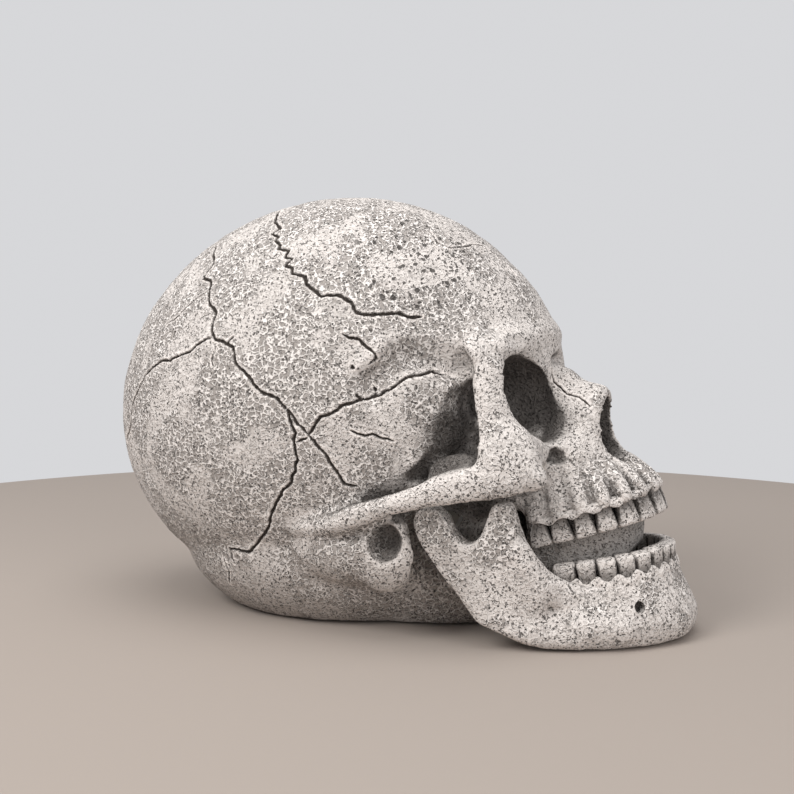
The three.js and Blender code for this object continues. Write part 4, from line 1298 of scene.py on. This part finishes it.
    def _root_ridges(self, clay: Clay) -> np.ndarray:
        """Raises the ridges over the roots of the upper teeth.

        Args:
            clay: the skull's skin.

        Returns:
            The painted shade in the valleys between the ridges, one value per point.
        """
        points, normals = clay.points(), clay.normals()
        row = UPPER_ARCH.line(0.0)
        tree = KDTree(len(row))
        for i, (x, y, _, _) in enumerate(row):
            tree.insert(UPPER_ARCH.to_world(x, y, self.root_level), i)
        tree.balance()
        half_widths = [w / 2 for w in UPPER_WIDTHS for _ in range(2)]
        wave = tooth_wave(row, UPPER_WIDTHS, 1.5) + 0.35 * tooth_wave(row, half_widths)
        low, high = self.muzzle
        valley_shade = np.zeros(len(points))
        for k in np.nonzero(((points > low) & (points < high)).all(1))[0]:
            _, index, gap = tree.find(points[k])
            if gap < self.root_reach:
                facing = max(0.0, normals[k][:2] @ row[index][2:])
                share = facing * (1.0 - gap / self.root_reach)
                front = smooth_step(*self.root_front, points[k][0])
                dip = smooth_step(0.2, -1.0, wave[index])
                points[k] += normals[k] * ((1.1 + 3.1 * front) * wave[index] * share)
                # Painted shade in the valleys between the ridges.
                valley_shade[k] = (0.35 + 0.5 * front) * dip * min(1.0, 2.0 * share)
        clay.put(points)
        return valley_shade

    def _carve(self, clay: Clay) -> None:
        """Cuts the cracks into the skin, on both sides, with finer faces along them."""
        tree = BVHTree.FromBMesh(clay.bm)
        trail: list[tuple[Vector, float]] = []
        for side in Side:
            for seed, crack in enumerate(self.cracks):
                if side in crack.sides:
                    trail += crack.trail(tree, side, seed)
        finder = KDTree(len(trail))
        for i, (spot, _) in enumerate(trail):
            finder.insert(spot, i)
        finder.balance()
        for reach in self.crack_refining:
            clay.refine(np.array([finder.find(v.co)[2] < reach for v in clay.bm.verts]))
        points, normals = clay.points(), clay.normals()
        dark = np.zeros(len(points))
        for k, spot in enumerate(points):
            _, index, gap = finder.find(spot)
            if gap > self.crack_reach:
                continue
            width = trail[index][1] * (0.85 + 0.5 * noise.noise(Vector(spot) / 2.3))
            groove = max(0.0, 1.0 - gap / width) ** 0.6
            lip = max(0.0, 1.0 - abs(gap - width - 0.7) / 1.1)
            points[k] += normals[k] * (self.crack_lip * lip - self.crack_depth * groove)
            # Outside the groove the lip is stored as a negative value, which the finish paints pale as a
            # painted highlight.
            dark[k] = min(1.0, groove * 2.2) if groove > 0.0 else -lip
        clay.put(points)
        clay.paint("crack", dark)

    def _relief(self, clay: Clay) -> None:
        """Roughens the skin with worn lumps and pits that are wide enough to model."""
        points, normals = clay.points(), clay.normals()
        push = np.zeros(len(points))
        for k, spot in enumerate(points):
            here = Vector(spot)
            lumps = noise.noise(here / 14.0) * 0.45 + noise.noise(here / 5.0) * 0.28
            gaps, _ = noise.voronoi(here / self.pit_spacing)
            pit = max(0.0, self.pit_radius - gaps[0]) / self.pit_radius
            chance = max(0.0, min(1.0, 0.5 + 1.6 * noise.noise(here / 31.0)))
            push[k] = lumps - self.pit_depth * pit * chance
        clay.put(points + normals * push[:, None])

    def build(self, finish: bpy.types.Material) -> list[bpy.types.Object]:
        """Builds both halves.

        Args:
            finish: the cast finish.

        Returns:
            The right and the left half.
        """
        clay = self._form()
        x, _, z = clay.points().T
        low, high = self.fine_levels
        clay.refine((x > self.fine_from) & (z > low) & (z < high))
        valley_shade = self._root_ridges(clay)
        UPPER_LIP.add(clay.bm)
        wide = clay.hollowness(60)
        valley_shade = np.pad(valley_shade, (0, len(wide) - len(valley_shade)))
        hidden = clay.shelter()
        # Painted shade: darker in hollows and where the form hides the sky, and in the root valleys and the
        # patches of shade and dirt.
        dirt_and_shade = np.maximum(0.8 * smooth_step(0.8, 5.0, wide), smooth_step(0.22, 0.62, hidden))
        dirt_and_shade = np.maximum.reduce([dirt_and_shade, valley_shade, *(shade_and_dirt_patch.on(clay.points()) for shade_and_dirt_patch in self.shade_and_dirt_patches)])
        clay.weather(dirt_and_shade, smooth_step(0.3, 2.2, -wide) * (1.0 - smooth_step(0.1, 0.4, hidden)))
        self._relief(clay)
        self._carve(clay)
        clay.thin(self.kept_faces)
        halves = []
        for side, name in ((Side.RIGHT, "skull_right_skin"), (Side.LEFT, "skull_left_skin")):
            half = Clay()
            half.bm.free()
            half.bm = clay.bm.copy()
            geom = [*half.bm.verts, *half.bm.edges, *half.bm.faces]
            seam = Vector((0.0, side.value * 0.01, 0.0))
            inward = Vector((0.0, -side.value, 0.0))
            made = bmesh.ops.bisect_plane(
                half.bm, geom=geom, dist=1e-4, plane_co=seam, plane_no=inward, clear_outer=True
            )
            rim = [e for e in made["geom_cut"] if isinstance(e, bmesh.types.BMEdge)]
            for edge in rim:
                edge.smooth = False
            bmesh.ops.holes_fill(half.bm, edges=rim, sides=0)
            halves.append(half.piece(name, finish))
        clay.bm.free()
        return halves


@dataclass
class ToothRow:
    """A row of crowns on one arch, cast together.

    neck is the share of a crown's width that is left at the gum, and growth makes the front ones longer.
    """

    name: str
    arch: ToothArch
    widths: tuple[float, ...]
    height: float
    up: int
    neck: float
    growth: float = 0.0
    root: float = 5.0
    thickness: float = 8.6

    def _crown(self, place: Matrix, width: float, height: float, seed: int) -> Clay:
        """Returns one crown: a block that narrows to the gum, with soft edges and a worn biting face.

        Args:
            place: the crown's place, with its biting edge at the origin and its root along +Z.
            width: its width along the arch.
            height: its height from the bite to the gum.
            seed: picks its small unevenness.
        """
        clay = Clay()
        bmesh.ops.create_cube(clay.bm, size=2.0)
        bmesh.ops.subdivide_edges(clay.bm, edges=clay.bm.edges, cuts=9, use_grid_fill=True)
        across, out, rise = clay.points().T
        out = out * self.up
        rise = (rise + 1.0) / 2.0
        gum = height / (height + self.root)
        narrow = 1.0 - (1.0 - self.neck) * smooth_step(0.12, gum, rise) - 0.06 * smooth_step(0.1, 0.0, rise)
        front = 0.94 + 0.08 * smooth_step(0.0, 0.3, rise) - 0.1 * smooth_step(0.45, gum, rise)
        front -= 0.1 * across**2
        depth = np.where(out > 0.0, out * front, out)
        clay.put(
            np.stack(
                [
                    across * width / 2 * narrow * (1.0 - 0.07 * (out < 0.0)),
                    self.up * depth * self.thickness / 2,
                    rise * (height + self.root) + 0.5 * np.maximum(0.0, out) * smooth_step(0.3, 0.0, rise),
                ],
                1,
            )
        )
        clay.smooth(3)
        clay.roughen(((3.0, 0.3),), seed * 5.1)
        # Painted shade: darker in the gaps between the crowns, towards the gum and on the back of each
        # crown; the biting edge is paler with wear.
        seam = smooth_step(0.72, 0.98, np.abs(across)) * smooth_step(0.0, 0.25, rise)
        shade = 0.8 * smooth_step(0.25 * gum, 0.9 * gum, rise)
        dirt_and_shade = np.maximum(seam, shade * (out > 0.0)) + 0.5 * (out < -0.5)
        clay.weather(dirt_and_shade, smooth_step(0.3, 0.05, rise) * 0.8)
        bmesh.ops.transform(clay.bm, matrix=place, verts=clay.bm.verts)
        return clay

    def build(self, finish: bpy.types.Material) -> bpy.types.Object:
        """Builds the row.

        Args:
            finish: the cast finish.

        Returns:
            The new object.
        """
        row = Clay()
        line = self.arch.line(self.thickness / 2)
        length = np.linalg.norm(np.diff(line[:, :2], axis=0), axis=1).sum()
        edges = tooth_share(self.widths)
        for i, (start, end) in enumerate(zip(edges, edges[1:])):
            x, y, out_x, out_y = line[round((start + end) / 2 * (len(line) - 1))]
            origin = self.arch.to_world(x, y, 0.0)
            ahead = (self.arch.to_world(x - out_y, y + out_x, 0.0) - origin).normalized()
            root = (self.arch.to_world(x, y, -self.up) - origin).normalized()
            across = root.cross(ahead).normalized()
            root = ahead.cross(across).normalized()
            turn = Matrix((ahead, across, root)).transposed().to_4x4()
            jitter = noise.noise(Vector((i * 3.7, self.up * 9.1, 0.0)))
            place = Matrix.Translation(origin + root * jitter * 0.6) @ turn
            place = place @ Matrix.Rotation(jitter * 0.1, 4, "Z")
            height = self.height + self.growth * self.arch.front_share(x)
            row.take(self._crown(place, (end - start) * length * 0.985, height, i))
        return row.piece(self.name, finish)


@dataclass
class LowerJaw:
    """The lower jaw: two upright branches, the curved body and the chin.

    outline is its side view, branch the plan of a branch, border the plan of the lower border and
    web the plan of the floor inside. levels holds three values for each ring of the body: its
    height and its way over to the gum, as shares, and how far it swells out.
    """

    voxel: float = 1.3
    outline: tuple[Pair, ...] = (
        (43, 68), (47, 75), (54.5, 76), (61, 71), (65.5, 62.5), (72, 57), (79.5, 60.5), (83.5, 69),
        (87, 79), (94.5, 79.5), (99, 70), (103, 56), (109, 43), (117, 36.5), (130, 36.5), (150, 40),
        (170, 43), (174.5, 38), (177.5, 25), (181.5, 14), (179, 4.5), (168, 0.5), (146, 0.2),
        (128, 0.5), (112, 2.4), (98, 6.5), (86, 11), (77, 17), (69, 28), (53, 48), (46, 58),
    )
    branch: tuple[Pair, ...] = (
        (30, 77), (60, 77), (84, 75.5), (104, 71), (113, 67), (113, 50), (104, 55), (88, 62), (60, 64),
        (30, 64),
    )
    ridge: Limb = Limb(
        (
            (98, 69, 58, 6, 7),
            (104, 65, 46, 7, 8),
            (112, 59, 35, 7.5, 8.5),
            (124, 52, 28, 8, 8),
            (138, 45, 24, 6, 6),
        )
    )
    border: tuple[Pair, ...] = (
        (92, 74), (108, 70.5), (132, 61.5), (155, 48.5), (171.5, 33), (180.5, 17),
    )
    nerve_hole: Egg = Egg((161, 41, 23), (3.3, 8, 3.3), (0, 0, -43))
    strokes: tuple[Stroke, ...] = (
        Stroke(((104, 68, 44), (114, 64, 27), (132, 60, 17), (154, 48, 12)), 10, 1.8),
        Stroke(((90, 77, 44), (94, 76, 30), (102, 73, 20)), 12, -1.6),
        Stroke(((122, 57, 29), (138, 52, 26), (152, 46, 26)), 8, -1.2),
    )
    dabs: tuple[Dab, ...] = (Dab((176, 14, 10), (14, 18, 12), (1.5, 1, 0)),)
    lumps: tuple[Pair, ...] = ((13.0, 0.4), (5.0, 0.25))
    half_width: float = 90.0
    branch_levels: Pair = (-20.0, 120.0)
    chin_x: float = 184.0
    thickness: float = 15.0
    floor: float = 0.05
    web: tuple[Pair, ...] = ((108, 58), (132, 49), (152, 37), (165, 22), (170, 8))
    web_levels: Pair = (0.4, 13.8)
    levels: tuple[tuple[float, float, float], ...] = (
        (0, 0, -6), (0.06, 0, -2), (0.18, 0, 0), (0.34, 0.02, 0.5), (0.5, 0.2, 0), (0.68, 0.55, 0),
        (0.84, 0.85, 0), (0.95, 1, 0), (1, 1, -1),
    )

    def _form(self) -> Clay:
        """Returns the jaw's skin, before the gum's edge and the nerve holes."""
        clay = Clay()
        side_view = [Vector((x, self.half_width, z)) for x, z in rounded_path(self.outline)]
        add_prism(clay.bm, side_view, Vector((0.0, -2.0 * self.half_width, 0.0)))
        tool = Clay()
        low, high = self.branch_levels
        for side in Side:
            add_prism(tool.bm, [side.out(x, y, low) for x, y in self.branch], Vector((0.0, 0.0, high - low)))
        clay.cut(tool, "INTERSECT")
        self._body(clay.bm)
        low, high = self.web_levels
        plan = [*self.web, *((x, -y) for x, y in self.web[::-1])]
        add_prism(clay.bm, [Vector((x, y, low)) for x, y in plan], Vector((0.0, 0.0, high - low)))
        for side in Side:
            self.ridge.add(clay.bm, side)
        clay.fuse(self.voxel)
        x, _, z = clay.points().T
        # The branch runs softly into the body, and the lower border is rounded.
        clay.smooth(24, 0.5, (x > 96.0) & (x < 148.0) & (z > 9.0))
        x, _, z = clay.points().T
        clay.smooth(12, 0.5, (x < 130.0) & (z < 22.0))
        clay.smooth(5)
        clay.sculpt(self.dabs, self.strokes)
        return clay

    def build(self, finish: bpy.types.Material) -> bpy.types.Object:
        """Builds the jaw.

        Args:
            finish: the cast finish.

        Returns:
            The new object.
        """
        clay = self._form()
        LOWER_LIP.add(clay.bm)
        self._nerve_holes(clay)
        # Painted shade: darker in hollows and where the form hides the sky.
        hollow = clay.hollowness(50)
        dirt_and_shade = np.maximum(0.8 * smooth_step(0.8, 4.0, hollow), smooth_step(0.25, 0.7, clay.shelter()))
        clay.weather(dirt_and_shade, smooth_step(0.3, 2.4, -hollow))
        clay.roughen(self.lumps)
        clay.level(self.floor)
        return clay.piece("lower_jaw_skin", finish)

    def _body(self, bm: bmesh.types.BMesh) -> None:
        """Adds the curved body, from the lower border on the floor up to the gum round the teeth.

        Args:
            bm: the mesh to add to.
        """
        half = [(x, -y) for x, y in self.border]
        border = np.array(rounded_path([*half, (self.chin_x, 0.0), *self.border[::-1]], 14, closed=False))
        steps = len(border) - 1
        front = (LOWER_ARCH.front_x, 0.0)
        gum_out = LOWER_ARCH.line(-1.6, steps)[:, :2] + front
        gum_in = LOWER_ARCH.line(9.5, steps)[:, :2] + front
        inward = np.stack([np.gradient(border[:, 1]), -np.gradient(border[:, 0])], 1)
        inward /= -np.linalg.norm(inward, axis=1)[:, None]
        loops = []
        for rise, share, swell in self.levels:
            outer = border - inward * swell
            outer = outer + (gum_out - outer) * share
            inner = border + inward * self.thickness
            inner = inner + (gum_in - inner) * share
            ring = []
            for x, y in [*outer, *inner[::-1]]:
                gum = LOWER_ARCH.to_world(x - LOWER_ARCH.front_x, y, -12.0).z
                base = 0.2 + 8.0 * (max(0.0, 120.0 - x) / 28.0) ** 2
                ring.append((x, y, base + (gum - base) * rise))
            loops.append(np.array(ring))
        skin_loops(bm, loops)

    def _nerve_holes(self, clay: Clay) -> None:
        """Sinks the small round hole in each side of the chin."""
        for side in Side:
            for reach in (9.0, 7.0):
                gap = clay.points() - np.array(side.out(*self.nerve_hole.centre))
                clay.refine(np.linalg.norm(gap, axis=1) < reach)
            tool = Clay()
            self.nerve_hole.add(tool.bm, side, 4)
            clay.cut(tool)


@dataclass
class MouthBlock:
    """The plain block behind the teeth that keeps the mouth open.

    plan is half of its outline from above, and cuts are the side views of what is taken off it.
    """

    plan: tuple[Pair, ...] = ((95, 35), (120, 35), (138, 29.5), (150, 17), (154.5, 0))
    levels: Pair = (14.5, 82.5)
    cuts: tuple[tuple[Pair, ...], ...] = (
        ((80, 60), (170, 87.5), (170, 120), (80, 120)),
        ((125, 14), (160, 62), (170, 0), (125, 0)),
    )
    half_width: float = 60.0
    voxel: float = 1.2
    lumps: tuple[Pair, ...] = ((7.0, 0.5), (3.0, 0.25))
    dirt_and_shade: float = 0.1

    def build(self, finish: bpy.types.Material) -> bpy.types.Object:
        """Builds the block.

        Args:
            finish: the cast finish.

        Returns:
            The new object.
        """
        clay = Clay()
        low, high = self.levels
        corners = [*self.plan, *((x, -y) for x, y in self.plan[-2::-1])]
        add_prism(clay.bm, [Vector((x, y, low)) for x, y in corners], Vector((0.0, 0.0, high - low)))
        for outline in self.cuts:
            tool = Clay()
            wedge = [Vector((x, -self.half_width, z)) for x, z in outline]
            add_prism(tool.bm, wedge, Vector((0.0, 2.0 * self.half_width, 0.0)))
            clay.cut(tool)
        clay.fuse(self.voxel)
        clay.smooth(4)
        clay.roughen(self.lumps)
        count = len(clay.bm.verts)
        clay.weather(np.full(count, self.dirt_and_shade), np.zeros(count))
        return clay.piece("mouth_block_skin", finish)


@dataclass(frozen=True)
class Lamp:
    """A soft square lamp, by its place, what it points at, its width and its power, in metres and watts."""

    name: str
    place: Triple
    aim: Triple
    width: float
    power: float
    colour: Triple = (1.0, 0.985, 0.96)

    def build(self) -> None:
        """Adds the lamp."""
        data = bpy.data.lights.new(self.name, "AREA")
        data.size = self.width
        data.energy = self.power
        data.color = self.colour
        lamp = bpy.data.objects.new(self.name, data)
        lamp.location = self.place
        lamp.rotation_euler = (Vector(self.aim) - Vector(self.place)).to_track_quat("-Z", "Y").to_euler()
        bpy.context.scene.collection.objects.link(lamp)


@dataclass
class Studio:
    """The floor, the lights and the camera at the photograph's viewpoint."""

    eye: Triple = (0.2766, -0.6776, 0.188)
    heading: float = 22.0
    pitch: float = 4.62
    lens: float = 54.4
    floor_radius: float = 0.64
    floor_colour: Triple = (0.375, 0.325, 0.29)
    sky: Triple = (0.97, 0.975, 1.0)
    ambient: float = 0.47
    backdrop: float = 0.70
    lamps: tuple[Lamp, ...] = (
        Lamp("key", (-0.6, -1.05, 1.15), (0.0, 0.0, 0.12), 0.7, 15.0),
        Lamp("top", (0.1, -0.2, 1.7), (0.0, 0.0, 0.1), 1.2, 12.5),
        Lamp("fill", (1.2, -1.0, 0.7), (0.1, 0.0, 0.1), 1.2, 7.5),
    )

    def build(self) -> None:
        """Sets the stage."""
        self._camera()
        self._floor()
        self._surroundings()
        for lamp in self.lamps:
            lamp.build()
        bpy.context.scene.view_settings.view_transform = "Standard"

    def _camera(self) -> None:
        """Adds the camera."""
        data = bpy.data.cameras.new("photo_camera")
        data.sensor_width = 36.0
        data.lens = self.lens
        data.clip_start = 0.01
        camera = bpy.data.objects.new("photo_camera", data)
        camera.location = self.eye
        camera.rotation_euler = (math.radians(90.0 - self.pitch), 0.0, math.radians(self.heading))
        bpy.context.scene.collection.objects.link(camera)
        bpy.context.scene.camera = camera

    def _floor(self) -> None:
        """Adds the pale floor."""
        bm = bmesh.new()
        bmesh.ops.create_circle(bm, cap_ends=True, segments=128, radius=self.floor_radius)
        mesh = bpy.data.meshes.new("floor")
        bm.to_mesh(mesh)
        bm.free()
        sheet = NodeSheet("pale_floor")
        sheet.shader.inputs["Base Color"].default_value = (*self.floor_colour, 1.0)
        sheet.shader.inputs["Roughness"].default_value = 0.95
        mesh.materials.append(sheet.material)
        floor = bpy.data.objects.new("floor", mesh)
        bpy.context.scene.collection.objects.link(floor)

    def _surroundings(self) -> None:
        """Adds the even light from all round, with a lighter backdrop for what is seen or mirrored."""
        world = bpy.data.worlds.new("surroundings")
        world.use_nodes = True
        nodes, links = world.node_tree.nodes, world.node_tree.links
        ground = nodes["Background"]
        ground.inputs["Color"].default_value = (*self.sky, 1.0)
        path = nodes.new("ShaderNodeLightPath")
        seen = path.outputs["Is Camera Ray"]
        for kind in ("Is Glossy Ray", "Is Transmission Ray"):
            either = nodes.new("ShaderNodeMath")
            either.operation = "MAXIMUM"
            links.new(seen, either.inputs[0])
            links.new(path.outputs[kind], either.inputs[1])
            seen = either.outputs[0]
        level = nodes.new("ShaderNodeMapRange")
        level.inputs["To Min"].default_value = self.ambient
        level.inputs["To Max"].default_value = self.backdrop
        links.new(seen, level.inputs["Value"])
        links.new(level.outputs["Result"], ground.inputs["Strength"])
        bpy.context.scene.world = world


def fit(piece: bpy.types.Object, node: str, body: Body) -> None:
    """Puts a piece in the place of a frame node.

    Args:
        piece: the piece.
        node: the node that it stands for.
        body: the body that it moves with.
    """
    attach(piece, body.value)
    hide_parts(node)
    LOG.info("%s: %d faces, stands for %s", piece.name, len(piece.data.polygons), node)


def dress_fittings() -> None:
    """Gives the fittings that keep their frame shape their finishes."""
    finishes = {
        "steel": Fitting("zinc_steel", (0.62, 0.63, 0.64), 0.38, 1.0),
        # The nylon is given a dark colour so that it sits in with the shade of the hollow round it: painted
        # shade.
        "nylon": Fitting("shade_darkened_nylon", (0.24, 0.22, 0.19), 0.6),
        "rubber": Fitting("foot_rubber", (0.03, 0.03, 0.03), 0.85),
        "grey_finish": Fitting("plate_grey", (0.30, 0.29, 0.28), 0.8, 0.0, 400.0),
    }
    built = {slot: finish.build() for slot, finish in finishes.items()}
    for part in frame["record"]["subparts"]:
        node = frame["nodes"][part["node"]]
        material = built.get(part["material_slot"])
        if material is not None:
            node.data.materials.clear()
            node.data.materials.append(material)
            LOG.info("%s keeps its frame shape", part["node"])


def main() -> None:
    """Builds the scene piece by piece."""
    logging.basicConfig(level=logging.INFO, format="%(relativeCreated)d ms %(name)s: %(message)s")
    Studio().build()
    noise.seed_set(NOISE_SEED)
    dress_fittings()
    stone = CastStone("cast_stone").build()
    right, left = SkullShell().build(stone)
    fit(right, "skull_right_half", Body.SKULL)
    fit(left, "skull_left_half", Body.SKULL)
    upper = ToothRow("upper_teeth", UPPER_ARCH, UPPER_WIDTHS, 13.0, -1, 0.76, 3.5)
    lower = ToothRow("lower_teeth", LOWER_ARCH, LOWER_WIDTHS, 11.0, 1, 0.9)
    fit(upper.build(stone), "upper_tooth_row", Body.SKULL)
    fit(lower.build(stone), "lower_tooth_row", Body.JAW)
    fit(LowerJaw().build(stone), "lower_jaw", Body.JAW)
    block = CastStone("block_stone", 0.50, 0.40, 0.26, 0.12, 0.05).build()
    fit(MouthBlock().build(block), "mouth_block", Body.SKULL)


if __name__ == "__main__":
    main()
